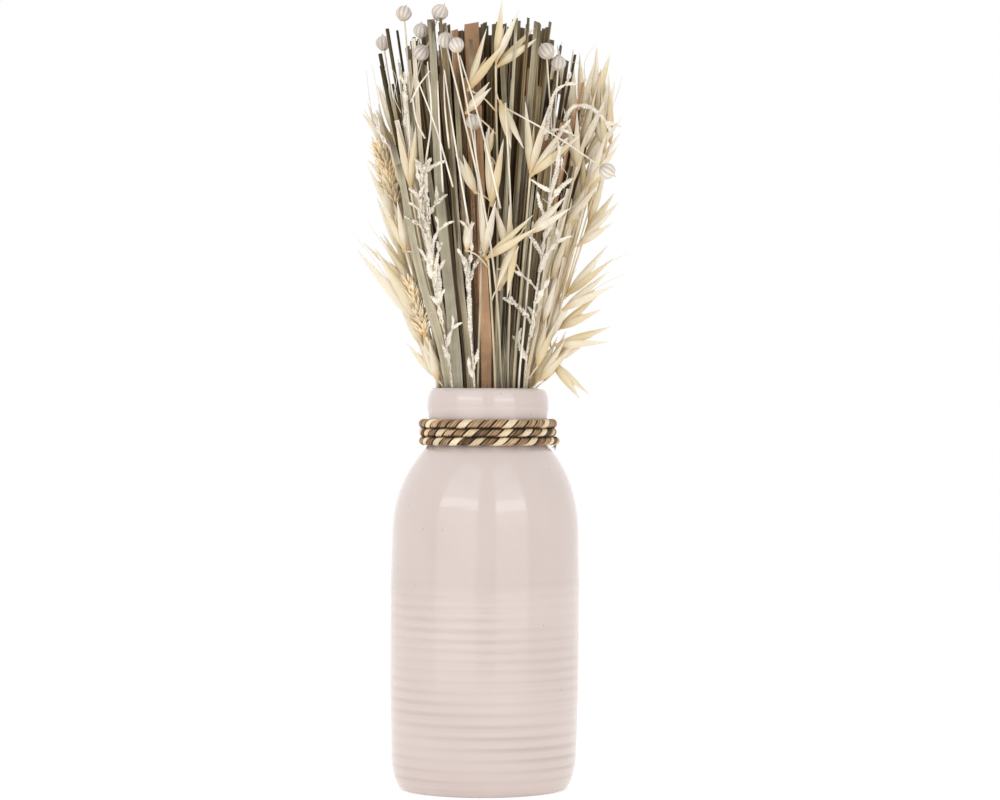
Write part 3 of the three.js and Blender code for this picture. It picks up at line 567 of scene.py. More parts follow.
def place(way, across, profile):
    """Sets cross-sections along a way. A profile point is (across, out of the face)."""
    along = unit(np.gradient(way, axis=0))
    side = square_to(along, np.broadcast_to(across, along.shape))
    face = np.cross(along, side)
    profile = np.broadcast_to(profile, (len(way),) + profile.shape[-2:])
    return way[:, None] + side[:, None] * profile[..., :1] + face[:, None] * profile[..., 1:]


def twisted(way, across, degrees):
    """The across direction for each point of a way, turned about the way by the given degrees."""
    along = unit(np.gradient(way, axis=0))
    side = square_to(along, across)
    angle = np.radians(np.broadcast_to(degrees, len(way)))[:, None]
    return side * np.cos(angle) + np.cross(along, side) * np.sin(angle)


def ease(t, start, end):
    """A smooth step from 0 at start to 1 at end."""
    t = np.clip((t - start) / (end - start), 0, 1)
    return t * t * (3 - 2 * t)


def sheet_rings(way, across, x, rise, thickness):
    """Rings of a thin sheet along a way. In each row, x goes across the sheet and rise out of its face."""
    lower = np.stack([x, rise - thickness / 2], axis=-1)
    upper = np.stack([x, rise + thickness / 2], axis=-1)[:, ::-1]
    return place(way, across, np.concatenate([lower, upper], axis=1))


# A husk's width from its base to its point, as a share of the widest, and its depth as one of its width.
HUSK_OUTLINE = ([0, 0.1, 0.22, 0.38, 0.6, 0.8, 1], [0.22, 0.6, 0.88, 1, 0.76, 0.4, 0.05])
HUSK_DEPTH = 0.26


def husk_rings(base, direction, outward, length, width, depth, bow, thickness=0.2, rows=13):
    """Rings of a slender, boat-shaped husk whose back faces outward. It tapers straight to its point."""
    t = np.linspace(0, 1, rows)
    half = 0.5 * width * np.interp(t, *HUSK_OUTLINE)
    arc = np.radians(np.linspace(-80, 80, 7))
    rise = depth * (half / half.max())[:, None] * np.cos(arc)
    way = base + length * t[:, None] * direction + bow * (t**2)[:, None] * outward
    across = np.cross(outward, direction)
    x = half[:, None] * np.linspace(-1, 1, len(arc))
    return sheet_rings(way, across, x, rise, thickness * (1 - 0.6 * t)[:, None])


def turned_rings(centre, direction, outline, sides, ribs=0, rib_depth=0.0):
    """Rings of a turned shape, with grooves between its ribs. Its outline is (radius, height)."""
    swell = 1 - rib_depth * np.abs(np.cos(ribs * angles(sides) / 2)) ** 6
    around = spokes(direction, (0.37, 0.81, 0.45), angles(sides)) * swell[:, None]
    return np.stack([centre + height * direction + radius * around for radius, height in outline])


# How many different figures the strips and husks of one piece have.
FIGURES = 97
SHARPEST_SMOOTH_EDGE = math.radians(42)


class Growth:
    """The closed skins of one piece, gathered before they become its mesh."""

    def __init__(self):
        self.points, self.faces, self.grain, self.finishes = [], [], [], []
        self.tones, self.alongs, self.figures = [], [], []
        self.count = 0

    def skin(self, rings, tone=0.5, finish=0):
        """Covers rings that run counterclockwise about their way and closes both ends. The tone is one
        number, one for each row or one for each point."""
        rows, around = rings.shape[:2]
        tone = np.asarray(tone, float)
        tone = tone[:, None] if tone.ndim == 1 else tone
        run = distances(rings.mean(axis=1))
        girth = np.linalg.norm(rings - np.roll(rings, 1, axis=1), axis=2).sum(axis=1).max()
        # The grain runs along the rings' way, and both of its coordinates are millimetres.
        u = np.linspace(0, girth, around + 1)
        i, j = np.indices((rows - 1, around)).reshape(2, -1)
        k = (j + 1) % around
        first, second = i * around + j, i * around + k
        quads = np.stack([first, second, second + around, first + around], axis=1)
        self.faces += (self.count + quads).tolist()
        corners = np.stack([u[j], run[i], u[j + 1], run[i], u[j + 1], run[i + 1], u[j], run[i + 1]], axis=1)
        self.grain.append(corners.reshape(-1, 2))
        for row, order in ((0, -1), (rows - 1, 1)):
            ring = np.arange(around)[::order]
            self.faces.append((self.count + row * around + ring).tolist())
            self.grain.append(np.stack([u[ring], np.full(around, run[row])], axis=1))
        self.finishes += [finish] * (len(quads) + 2)
        self.points.append(rings.reshape(-1, 3))
        self.tones.append(np.broadcast_to(tone, (rows, around)).ravel())
        self.alongs.append(np.repeat(run / max(run[-1], 1e-9), around))
        self.figures.append(np.full(rows * around, len(self.points) % FIGURES + 1))
        self.count += rows * around

    def rod(self, way, thick, thin, sides=8, **look):
        """Covers a round rod along a way, whose radius goes from thick to thin."""
        across = (1.0, 0, 0) if abs(unit(way[-1] - way[0])[0]) < 0.9 else (0, 0, 1.0)
        radius = np.linspace(thick, thin, len(way))
        self.skin(place(way, np.array(across), radius[:, None, None] * circle(sides)), **look)

    def make(self, name, materials, slot, nodes=()):
        """Turns the skins into one piece that rides on the body and stands for its CAD nodes."""
        mesh = bpy.data.meshes.new(name)
        mesh.from_pydata((np.concatenate(self.points) * MM).tolist(), [], self.faces)
        grain = np.concatenate(self.grain).astype(np.float32).ravel()
        mesh.uv_layers.new(name="grain").uv.foreach_set("vector", grain)
        for key, values in (("tone", self.tones), ("along", self.alongs), ("figure", self.figures)):
            attribute = mesh.attributes.new(key, "FLOAT", "POINT")
            attribute.data.foreach_set("value", np.concatenate(values).astype(np.float32))
        mesh.polygons.foreach_set("material_index", self.finishes)
        for material in materials:
            mesh.materials.append(material)
        mesh.shade_smooth()
        mesh.set_sharp_from_angle(angle=SHARPEST_SMOOTH_EDGE)
        piece = bpy.data.objects.new(name, mesh)
        bpy.context.scene.collection.objects.link(piece)
        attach(piece, BODY)
        if nodes:
            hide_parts(*nodes)


# ------------------------------------------------------------------ materials

def linear(colour):
    """An sRGB hex colour as linear red, green and blue. Any other colour is linear as it is."""
    if not isinstance(colour, str):
        return colour
    channels = [int(colour[i : i + 2], 16) / 255 for i in (0, 2, 4)]
    return [c / 12.92 if c <= 0.04045 else ((c + 0.055) / 1.055) ** 2.4 for c in channels]


def colour_property(name, description, hex_colour):
    """A colour that the user can change."""
    return FloatVectorProperty(name=name, description=description, default=linear(hex_colour),
                               subtype="COLOR", size=3, min=0, max=1)


def length_property(name, description, millimetres):
    """A length that the user can change, kept in metres."""
    return FloatProperty(name=name, description=description, default=millimetres * MM,
                         unit="LENGTH", precision=5, min=0)


def brightness_property(name, description, brightness):
    """A brightness that the user can change."""
    return FloatProperty(name=name, description=description, default=brightness, min=0)


# The output that a node passes on where it isn't its first.
MAIN_OUTPUT = {"ShaderNodeAttribute": "Fac", "ShaderNodeMix": 2}


def feed(tree, node, sockets):
    """Fills a node's sockets with values, or links them to another node or to one of its outputs."""
    for key, value in sockets.items():
        if isinstance(value, bpy.types.Node):
            value = value.outputs[MAIN_OUTPUT.get(value.bl_idname, 0)]
        if isinstance(value, bpy.types.NodeSocket):
            tree.links.new(value, node.inputs[key])
        else:
            node.inputs[key].default_value = value


def add_node(tree, kind, sockets=None, stops=None, **settings):
    """Adds a shader node with its settings, ramp stops and sockets."""
    node = tree.nodes.new("ShaderNode" + kind)
    for key, value in settings.items():
        setattr(node, key, value)
    if stops:
        ramp = node.color_ramp.elements
        while len(ramp) < len(stops):
            ramp.new(1.0)
        for element, (position, colour) in zip(ramp, stops):
            element.position = position
            element.color = (*linear(colour), 1)
    feed(tree, node, sockets or {})
    return node


def new_material(name, **uniform):
    """An empty shader tree with one Principled shader, whose even values sit on its own sockets."""
    material = bpy.data.materials.new(name)
    material.use_nodes = True
    tree = material.node_tree
    tree.nodes.clear()
    shader = add_node(tree, "BsdfPrincipled", {key.replace("_", " "): v for key, v in uniform.items()})
    add_node(tree, "OutputMaterial", {"Surface": shader})
    return material, tree, shader


def dress(tree, shader, colour, height, relief):
    """Gives a shader its colour and a relief of the given depth in millimetres."""
    bump = add_node(tree, "Bump", {"Height": height, "Strength": 1.0, "Distance": relief * MM})
    feed(tree, shader, {"Base Color": colour, "Normal": bump})


def grey(value):
    """A neutral colour for ramps that carry a number."""
    return (value, value, value)


def dried_fibre(name, shades, root, root_reach, point, point_reach, fibre, streak, relief, blotch=0.12,
                roughness=0.75, spread=0.5, root_from=0.0, **uniform):
    """A dried plant skin: fibres of the given width, streak length and relief in millimetres, in shades
    from the piece's tone. It turns to the root colour at its base, from root_from to root_reach of its
    length, and to the point colour over the last point_reach. Clouds darken it by up to twice blotch."""
    material, tree, shader = new_material(name, Roughness=roughness, IOR=1.45, **uniform)
    grain = add_node(tree, "UVMap", uv_map="grain")
    tone, along, figure = (
        add_node(tree, "Attribute", attribute_name=key) for key in ("tone", "along", "figure"))
    # The offset, of no round number of millimetres, gives each strip or husk its own figure.
    own = add_node(tree, "VectorMath", operation="MULTIPLY_ADD",
                   sockets={0: figure.outputs["Vector"], 1: (61.3, 27.1, 0), 2: grain})
    scaled = add_node(tree, "VectorMath", {0: own, 1: (1 / fibre, 1 / streak, 1)}, operation="MULTIPLY")
    streaks = add_node(tree, "TexNoise", {"Vector": scaled, "Scale": 1.0, "Detail": 3.0})
    shade = add_node(tree, "Math", {0: streaks, 1: spread, 2: tone}, operation="MULTIPLY_ADD")
    centred = add_node(tree, "Math", {0: shade, 1: spread / 2}, operation="SUBTRACT")
    colour = add_node(tree, "ValToRGB", {"Fac": centred}, stops=shades)
    colour.color_ramp.interpolation = "B_SPLINE"
    ends = [(root, (root_from, grey(0.9)), (root_reach, grey(0))),
            (point, (1 - point_reach, grey(0)), (1, grey(0.85)))]
    for end, *stops in ends:
        reached = add_node(tree, "ValToRGB", {"Fac": along}, stops=stops)
        colour = add_node(tree, "Mix", {0: reached, 6: colour, 7: (*linear(end), 1)}, data_type="RGBA")
    # Clouds of dirt and wear, about 11 mm across.
    spot = add_node(tree, "TexCoord").outputs["Object"]
    clouds = add_node(tree, "TexNoise", {"Vector": spot, "Scale": 90.0, "Detail": 2.0})
    shadow = add_node(tree, "ValToRGB", {"Fac": clouds},
                      stops=[(0.35, grey(1 - 2 * blotch)), (0.6, grey(1))])
    worn = add_node(tree, "Mix", {0: 1.0, 6: colour, 7: shadow}, data_type="RGBA", blend_type="MULTIPLY")
    dress(tree, shader, worn, streaks, relief)
    return material


def glazed_stoneware(settings):
    """Thrown stoneware in a clear gloss glaze: a wet, even sheen over a blush body, finely iron-specked."""
    material, tree, shader = new_material("glazed_stoneware_thrown", Roughness=0.09, IOR=1.56)
    spot = add_node(tree, "TexCoord").outputs["Object"]
    # Slow clouds, about 35 mm across, where the glaze lies thicker.
    clouds = add_node(tree, "TexNoise", {"Vector": spot, "Scale": 28.0, "Detail": 2.0})
    body = add_node(tree, "ValToRGB", {"Fac": clouds},
                    stops=[(0.3, settings.glaze_thick), (0.7, settings.glaze)])
    # The glaze also gathers in the throwing rings, where the tone is 1: the darker colour there is pooled
    # glaze, and also painted shade of the shallow rings.
    groove = add_node(tree, "Attribute", attribute_name="tone")
    pooled_and_shaded = add_node(tree, "Mix", {0: groove, 6: body, 7: (*settings.glaze_pooled_and_shade, 1)}, data_type="RGBA")
    # Pinholes and iron specks, under 0.5 mm and some 12 mm apart.
    specks = add_node(tree, "TexVoronoi", {"Vector": spot, "Scale": 110.0})
    dots = add_node(tree, "ValToRGB", {"Fac": specks}, stops=[(0.02, grey(1)), (0.045, grey(0))])
    rare = add_node(tree, "TexNoise", {"Vector": spot, "Scale": 160.0})
    chosen = add_node(tree, "ValToRGB", {"Fac": rare}, stops=[(0.48, grey(0)), (0.53, grey(0.7))])
    speck = add_node(tree, "Math", {0: dots, 1: chosen}, operation="MULTIPLY")
    colour = add_node(tree, "Mix", {0: speck, 6: pooled_and_shaded, 7: (*settings.speck, 1)}, data_type="RGBA")
    # The glaze's gentle unevenness, a few hundredths of a millimetre over 9 mm, and the fine drag marks
    # of the fingers, about 2 mm apart up the wall and 30 mm long around it.
    waves = add_node(tree, "TexNoise", {"Vector": spot, "Scale": 110.0, "Detail": 1.0})
    flattened = add_node(tree, "VectorMath", {0: spot, 1: (35, 35, 520)}, operation="MULTIPLY")
    drags = add_node(tree, "TexNoise", {"Vector": flattened, "Scale": 1.0, "Detail": 3.0})
    both = add_node(tree, "Math", {0: drags, 1: 0.8, 2: waves}, operation="MULTIPLY_ADD")
    dress(tree, shader, colour, both, relief=0.05)
    return material


def bare_stoneware():
    """Unglazed fired clay where the vase stands: dry, pale and slightly sandy."""
    material, tree, shader = new_material("stoneware_unglazed", Roughness=0.9, IOR=1.5)
    # Grains of 0.4 mm.
    spot = add_node(tree, "TexCoord").outputs["Object"]
    sand = add_node(tree, "TexNoise", {"Vector": spot, "Scale": 2500.0})
    colour = add_node(tree, "ValToRGB", {"Fac": sand}, stops=[(0.3, "B9A48F"), (0.7, "D8C8B6")])
    dress(tree, shader, colour, sand, relief=0.05)
    return material


# ------------------------------------------------------------------ settings

class VaseSettings(bpy.types.PropertyGroup):
    """Sizes and colours of the vase."""

    glaze: colour_property("Glaze", "Colour of the glaze over the thrown body", "C9BBB4")
    glaze_thick: colour_property("Thick glaze", "Colour where the glaze lies thicker", "C5B6B0")
    # The darker colour in the throwing rings: pooled glaze and painted shade.
    glaze_pooled_and_shade: colour_property("Pooled glaze", "Colour where the glaze gathers in a ring", "B9A9A3")
    speck: colour_property("Specks", "Colour of the iron specks", "8A7261")
    ring_depth: length_property("Ring depth", "How deep the throwing rings are", 0.085)
    ring_spacing: length_property("Ring spacing", "Distance between throwing rings", 4.5)
    segments: IntProperty(name="Segments", description="Faces around the vase", default=128, min=32)


class CordSettings(bpy.types.PropertyGroup):
    """Sizes and colours of the neck cord."""

    thick: length_property("Ply thickness", "Half of a ply's thickness outward", 1.0)
    wide: length_property("Ply width", "Half of a ply's width across", 1.4)
    offset: length_property("Ply offset", "Distance of a ply's middle from the cord's middle", 0.88)
    lay: length_property("Lay", "Length over which a ply winds once around the cord", 9.4)
    light: colour_property("Light grass", "Colour of the cream grass", "E3C8A0")
    brown: colour_property("Brown grass", "Colour of the tan grass", "B7956F")
    dark: colour_property("Dark grass", "Colour of the dark brown grass", "765939")


class LeafSettings(bpy.types.PropertyGroup):
    """Sizes and colours of the leaf strips, sheaths and stalks."""

    thickness: length_property("Thickness", "Thickness of a dried leaf strip", 0.32)
    dark: colour_property("Dark leaf", "Colour of the darkest strips", "2B1D0D")
    brown: colour_property("Brown leaf", "Colour of the brown strips", "75572F")
    olive: colour_property("Olive leaf", "Colour of the olive strips", "98855D")
    grey_green: colour_property("Grey-green leaf", "Colour of the grey-green strips", "B3AA91")
    pale: colour_property("Pale leaf", "Colour of the palest strips", "D0C7B0")
    copper: colour_property("Copper sheath", "Colour of the reddish sheaths", "D6AB83")
    fillers: IntProperty(name="Inner strips", description="Strips inside the bunch", default=120, min=0)


class OatSettings(bpy.types.PropertyGroup):
    """Sizes and colours of the oats and other husks."""

    husk_width: length_property("Husk width", "Width of an oat husk", 3.7)
    cream: colour_property("Cream", "Colour of a bleached husk", "DFCFB2")
    gold: colour_property("Gold", "Colour of a husk's base", "C9A670")
    canary: colour_property("Canary gold", "Colour of the canary-grass heads", "EBCF9D")


class FlaxSettings(bpy.types.PropertyGroup):
    """Sizes and colours of the flax."""

    pod_radius: length_property("Pod radius", "Radius of a seed pod", 3.4)
    ribs: IntProperty(name="Ribs", description="Ribs around a seed pod", default=10, min=5)
    pod: colour_property("Pod", "Colour of a bleached pod", "D8CDC2")


class StaticeSettings(bpy.types.PropertyGroup):
    """Sizes and colours of the statice."""

    tooth: length_property("Tooth", "Distance between teeth on a winged twig", 1.25)
    white: colour_property("Bleached white", "Colour of the winged twigs", "E4DAC9")


class StageSettings(bpy.types.PropertyGroup):
    """Light and floor."""

    floor: colour_property("Floor", "Colour of the floor", "F7F6F4")
    softbox: brightness_property("Softbox", "Brightness of the two softboxes", 0.66)
    glow: brightness_property("Glow", "Brightness that each tube spreads around it", 0.42)
    tube_colour: colour_property("Tube colour", "Colour of the tubes' cool light", "F2F6FF")
    tube: brightness_property("Tube", "Brightness of the tube across each softbox", 1.9)
    room: brightness_property("Room", "Brightness of the white backdrop", 1.27)


class BouquetSettings(bpy.types.PropertyGroup):
    """Everything that can be changed."""

    vase: PointerProperty(type=VaseSettings)
    cord: PointerProperty(type=CordSettings)
    leaf: PointerProperty(type=LeafSettings)
    oat: PointerProperty(type=OatSettings)
    flax: PointerProperty(type=FlaxSettings)
    statice: PointerProperty(type=StaticeSettings)
    stage: PointerProperty(type=StageSettings)


# ------------------------------------------------------------------ operators

class FLOWERS_OT_vase(bpy.types.Operator):
    """Builds the thrown and glazed vase"""

    bl_idname = "flowers.vase"
    bl_label = "Stoneware vase"

    def execute(self, context):
        settings = context.scene.bouquet.vase
        outline = np.vstack([bezier(*piece) for piece in VASE_OUTLINE] + [VASE_OUTLINE[-1][0][-1:]])
        radius, height = outline.T
        angle = angles(settings.segments)
        steps = [count for _, count in VASE_OUTLINE]
        outer = np.arange(len(outline)) < sum(steps[:OUTSIDE_PIECES])
        z = height[:, None]
        # The fingers' rings: shallow grooves of slightly uneven depth and spacing.
        climbed = z + RING_CLIMB * np.sin(angle + 0.8) + RING_DRIFT * np.sin(z / 9)
        phase = 2 * math.pi * climbed / (settings.ring_spacing / MM)
        uneven = 0.66 + 0.34 * np.sin(z / 5.9 + 2 * angle)
        groove = (0.5 - 0.5 * np.cos(phase)) ** RING_SHARPNESS * uneven
        finer = (0.5 - 0.5 * np.cos(2 * phase + 1.9)) ** 3
        groove += FINER_RINGS * finer * (0.5 + 0.5 * np.sin(z / 4.1 + 3 * angle))
        groove *= np.interp(z, *RING_STRENGTH) * outer[:, None]
        # A hand-thrown wall is never quite round.
        walls = ease(z, *ABOVE_FOOT) * (1 - ease(z, *SHOULDER)) * outer[:, None]
        wobble = OUT_OF_ROUND * np.sin(2 * angle + z / 38) * walls
        sway = np.interp(height, *WALL_SWAY) * outer * ease(radius, *CREST_RADII)
        r = radius[:, None] - groove * settings.ring_depth / MM + wobble
        rings = np.stack([r * np.cos(angle) + sway[:, None], r * np.sin(angle), z + 0 * angle], axis=-1)
        growth = Growth()
        growth.skin(rings, tone=groove)
        # The foot is unglazed, with the face that closes its middle: one of the two that come last.
        bare = steps[0] * settings.segments
        growth.finishes[:bare] = [1] * bare
        growth.finishes[-2] = 1
        finishes = [glazed_stoneware(settings), bare_stoneware()]
        growth.make("thrown_vase", finishes, "glazed_stoneware", ["vase"])
        return {"FINISHED"}


class FLOWERS_OT_cord(bpy.types.Operator):
    """Winds the two-tone twisted cord around the neck"""

    bl_idname = "flowers.cord"
    bl_label = "Neck cord"

    def execute(self, context):
        settings = context.scene.bouquet.cord
        turns = np.linspace(0, CORD_TURNS, CORD_STEPS)
        whole = np.minimum(np.floor(turns), math.floor(CORD_TURNS))
        climb = ease(turns - whole, *CORD_CLIMB) * (whole < math.floor(CORD_TURNS))
        angle = -2 * math.pi * turns
        radial = np.stack([np.cos(angle), np.sin(angle), 0 * angle], axis=1)
        loose_end = END_STANDS_OFF * (1 - ease(turns, 0, END_REACH))
        centre = (CORD_COIL_RADIUS + loose_end)[:, None] * radial
        centre[:, 0] += np.interp(CORD_START_Z, *WALL_SWAY)
        centre[:, 2] = CORD_START_Z + CORD_PITCH * (whole + climb)
        upward = np.cross(unit(np.gradient(centre, axis=0)), radial)
        swell = np.interp(turns, *CORD_SWELL)
        rng = np.random.default_rng(7)
        growth = Growth()
        ring = circle(GRASSES * GRASS_FACES)
        # The near-black tube is painted shade: it shows only in the gaps between the plies and the turns.
        shade_core = SHADE_CORE_RADIUS * swell[::3, None, None] * ring
        growth.skin(place(centre[::3], radial[::3], shade_core), tone=-0.1)
        for ply in (0, 1):
            twists = distances(centre) / (settings.lay / MM) - ply / 2
            turn = -2 * math.pi * twists
            outward = np.cos(turn)[:, None] * radial + np.sin(turn)[:, None] * upward
            way = centre + (swell * settings.offset / MM)[:, None] * outward
            # A ply is flattened against its mate, and its grasses show as fine lobes of their own shades.
            # The lobe term also paints each lobe's valley darker and its crest lighter: painted shade and
            # painted highlight.
            lobes = np.cos(GRASSES * angles(len(ring)))
            grasses = np.repeat(rng.uniform(-0.14, 0.14, GRASSES), GRASS_FACES) + 0.12 * lobes
            # Painted shade darkens each ply's sides where it meets its mate, in the grooves between the
            # plies.
            grasses -= 0.7 * np.clip(0.62 - ring[:, 0], 0, 0.6)
            section = ring * (settings.thick / MM, settings.wide / MM) * (1 + 0.1 * lobes)[:, None]
            rings = place(way, outward, swell[:, None, None] * section)
            number = 2 * np.round(twists).astype(int) + ply
            tone = np.where(turns < TOP_TURN, np.take(LOWER_TWISTS, number, mode="wrap"),
                            np.take(TOP_TWISTS, number, mode="wrap"))
            # Painted shade also darkens each ply where one turn lies on the next.
            rise = rings[:, :, 2] - centre[:, None, 2]
            shaded_between_turns = (rise > 0) & (turns[:, None] < CORD_TURNS - 1) | (rise < 0) & (turns[:, None] > 1)
            shade = 1.1 * shaded_between_turns * np.clip(np.abs(rise) - 1.05, 0, 0.5)
            growth.skin(rings, tone=tone[:, None] + grasses - shade)
        tip = centre[0]
        for lean, reach in FRAYED_GRASSES:
            strand = smooth_way([tip, tip + (0.3, -0.5, -1), tip + (lean, -0.9, -1.4 - reach)], 8)
            growth.rod(strand, 0.35, 0.12, 6, tone=0.4)
        material = dried_fibre(
            # Seagrass, twisted: dull fibres that run with each ply, cream and brown by turns. They are
            # about 0.3 mm thick and drawn at 0.9 mm so that they show.
            "seagrass_twisted",
            [(0, "2C2015"), (0.22, settings.dark), (0.5, settings.brown), (0.8, settings.light),
             (1, "EBDAB9")],
            root="F0E4CC", root_reach=0.0012, point=settings.light, point_reach=0.002,
            fibre=0.9, streak=5, relief=0.5, spread=0.8, roughness=0.85)
        growth.make("twisted_cord", [material], "seagrass_cord", ["neck_cord"])
        return {"FINISHED"}


def leaf_material(name, settings, base, base_from, base_reach):
    """Dried palm leaf, split into strips: matt, grey-green to brown, with fine lengthwise veins. They are
    under half a millimetre apart and drawn at 0.7 mm so that they show."""
    return dried_fibre(
        name,
        [(0, settings.dark), (0.22, settings.brown), (0.42, settings.olive), (0.7, settings.grey_green),
         (1, settings.pale)],
        root=base, root_from=base_from, root_reach=base_reach, point="6B5F48", point_reach=0.03,
        fibre=0.7, streak=22, relief=0.22, spread=0.46, roughness=0.72)


def leaf_strip(growth, way, turn, start_width, end_width, fold, tone, thickness, twist=0.0, slant=0.0,
               aside=0.0, finish=0):
    """Adds a strip with a lengthwise fold and slightly curled edges. It faces the bouquet's side at turn
    degrees and twists on its way up. It ends in a cut that is slant millimetres off square at either edge,
    and lies aside of its way by a share of its own width."""
    t = np.linspace(0, 1, len(way))
    u = np.linspace(-1, 1, 9)
    half = 0.5 * (start_width + (end_width - start_width) * t)
    rise = fold * (1 - np.abs(u) ** 1.15) + EDGE_CURL * np.cos(3 * math.pi * u)
    # The fold opens and closes a little on its way up.
    rise = rise * (0.85 + 0.15 * np.sin(7 * t + 5 * tone))[:, None]
    sides = twisted(way, side_of(turn)[1], twist * ease(t, 1 / 3, 1))
    way = way + sides * (2 * aside * half)[:, None]
    rings = sheet_rings(way, sides, half[:, None] * u, rise, thickness)
    # The ring's points run across the lower face and back across the upper one.
    u = np.concatenate([u, u[::-1]])
    rings[-1] += slant * u[:, None] * unit(way[-1] - way[-2])
    # The margins are painted lighter than the middle: a painted highlight along the strip's edges.
    painted_edge_highlight = 0.2 * np.abs(u) ** 3 - 0.06
    growth.skin(rings, tone=tone + painted_edge_highlight[None], finish=finish)


class FLOWERS_OT_leaf_strips(bpy.types.Operator):
    """Builds the grey-green leaf strips and the inner ones between them"""

    bl_idname = "flowers.leaf_strips"
    bl_label = "Leaf strips"

    def execute(self, context):
        settings = context.scene.bouquet.leaf
        material = leaf_material("palm_leaf_dried", settings, "473E2E", 0, 0.66)
        # A shaded copy of the leaf for the strips within the bunch: painted shade turns them nearly black
        # towards their base.
        inner = leaf_material("palm_leaf_dried_painted_shade", settings, settings.dark, 0.56, 0.94)
        thickness = settings.thickness / MM
        rng = np.random.default_rng(11)
        for number, (slot, via, tip, start, end, turn, twist, tone) in enumerate(LEAF_STRIPS, 1):
            growth = Growth()
            way = stem_way(slot, [via], tip, STRIP_ROWS)
            # The folds of the strips at the back face backwards.
            fold = 0.9 if slot[1] <= 4 else -0.9
            if number <= WHOLE_STRIPS:
                leaf_strip(growth, way, turn, start, end, fold, tone, thickness, twist,
                           slant=rng.uniform(-0.4, 0.4))
            else:
                # The others are torn lengthwise into two narrower halves, and one ends a little lower.
                short = rng.integers(2)
                for half in (0, 1):
                    cut = int(rng.integers(1, 3)) if half == short else 0
                    leaf_strip(growth, way[: len(way) - cut], turn, 0.44 * start, 0.44 * end, 0.5 * fold,
                               tone + rng.uniform(-0.2, 0.2), thickness, twist,
                               slant=rng.uniform(-0.3, 0.3), aside=0.6 * (2 * half - 1))
            # The strips within the bunch take the shaded copy of the leaf, painted nearly black towards the
            # base.
            finish = inner if WHOLE_STRIPS < number < FIRST_BACK_STRIP else material
            growth.make(f"leaf_strip_{number:02d}", [finish], "grey_green_leaf",
                        [f"leaf_blade_{number:02d}"])
        growth = Growth()
        # The darker short strips take the shaded copy of the leaf, painted nearly black towards the base.
        for slot, tip, width, tone in SHORT_STRIPS:
            leaf_strip(growth, stem_way(slot, [], tip, SMALL_STRIP_ROWS), 0, width, width, 0.4, tone,
                       thickness, slant=rng.uniform(-0.3, 0.3), finish=int(tone < 0.55))
        growth.make("leaf_strips_short", [material, inner], "grey_green_leaf")
        growth = Growth()
        for slot, via, tip, start, end, tone in BROAD_STRIPS:
            leaf_strip(growth, stem_way(slot, [via], tip, STRIP_ROWS), 0, start, end, 0.35, tone, thickness,
                       slant=0.3)
        growth.make("leaf_strips_broad", [material], "grey_green_leaf")
        self.fill(settings, material, inner, rng)
        return {"FINISHED"}

    def fill(self, settings, outer, inner, rng):
        """The strips inside the bunch, in rows between the main ones. The middle rows are broad and close
        the bunch to the light, and their dark tones and the shaded copy of the leaf paint the shade deep in
        the bunch."""
        for number, (y, share, narrow, broad, dark, light) in enumerate(INNER_ROWS, 1):
            growth = Growth()
            count = max(1, round(share * settings.fillers))
            reach = max(math.sqrt(BUNCH_RADIUS**2 - y**2), NARROWEST_ROW)
            for place_in_row in (np.arange(count) + 0.5) / count:
                x = reach * (2 * place_in_row - 1) + rng.uniform(-0.5, 0.5)
                # The foremost row stays in its plane.
                depth = y + rng.uniform(-1.6, 1.6) * (abs(y) < 14)
                if y < -9 and SHEATH_GAP[0] < x < SHEATH_GAP[1]:
                    continue
                top = rng.choice(list(STRIP_TOPS), p=list(STRIP_TOPS.values()))
                top -= SIDE_SLOPE * max(abs(x) - LEVEL_HALF_WIDTH, 0)
                spread = 1 + FAN_SPREAD * (top - LIP_Z) / FAN_HEIGHT
                bend = 1 + HALF_WAY_SPREAD * (spread - 1)
                half_way = (x * bend, depth * bend, (LIP_Z + top) / 2)
                tip = (x * spread, depth * spread, top)
                way = stem_way((x, depth), [half_way], tip, INNER_STRIP_ROWS)
                width = rng.uniform(narrow, broad)
                turn = rng.uniform(-18, 18) + TURN_OUTWARD * x
                tone = rng.uniform(dark, light)
                # The light strips at the front and all those at the back are pale down to the mouth; the
                # others take the shaded copy, painted nearly black towards the base as shade.
                shaded = -12 < y < 9 or (y < 0 and tone < 0.6)
                leaf_strip(growth, way, turn, width, width * rng.uniform(0.9, 1.15),
                           rng.choice([-0.5, 0.5]), tone, settings.thickness / MM, rng.uniform(-30, 30),
                           slant=rng.uniform(-0.3, 0.3), finish=int(shaded))
            growth.make(f"leaf_strips_inner_{number}", [outer, inner], "grey_green_leaf")


class FLOWERS_OT_sheaths(bpy.types.Operator):
    """Builds the two copper-brown sheaths and the shreds torn from them"""

    bl_idname = "flowers.sheaths"
    bl_label = "Copper sheaths"

    def execute(self, context):
        settings = context.scene.bouquet.leaf
        material = dried_fibre(
            # Dried leaf sheath: matt copper brown with rust-red fibres and dotted veins.
            "leaf_sheath_dried",
            [(0.06, "68452A"), (0.38, settings.copper), (0.72, "CBA179"), (1, "D4B48F")],
            root="F2C79E", root_reach=0.9, point="B38B67", point_reach=0.25,
            fibre=0.9, streak=2.2, relief=0.3, spread=1.3, blotch=0.15)
        for name, (slot, via, tip, start, end) in SHEATHS.items():
            growth = Growth()
            leaf_strip(growth, stem_way(slot, [via], tip, STRIP_ROWS), 0, start, end, 0.9,
                       tone=0.6, thickness=0.4, slant=0.4)
            growth.make(f"{name}_leaf", [material], "copper_sheath", [name])
        growth = Growth()
        for number, (slot, via, tip, start, end) in enumerate(SHEATH_SHREDS):
            leaf_strip(growth, stem_way(slot, [via], tip, 36), 8 * (number % 3) - 8, start, end, 0.5,
                       tone=0.2 + 0.08 * number, thickness=0.3, slant=0.3)
        growth.make("sheath_shreds", [material], "copper_sheath")
        return {"FINISHED"}


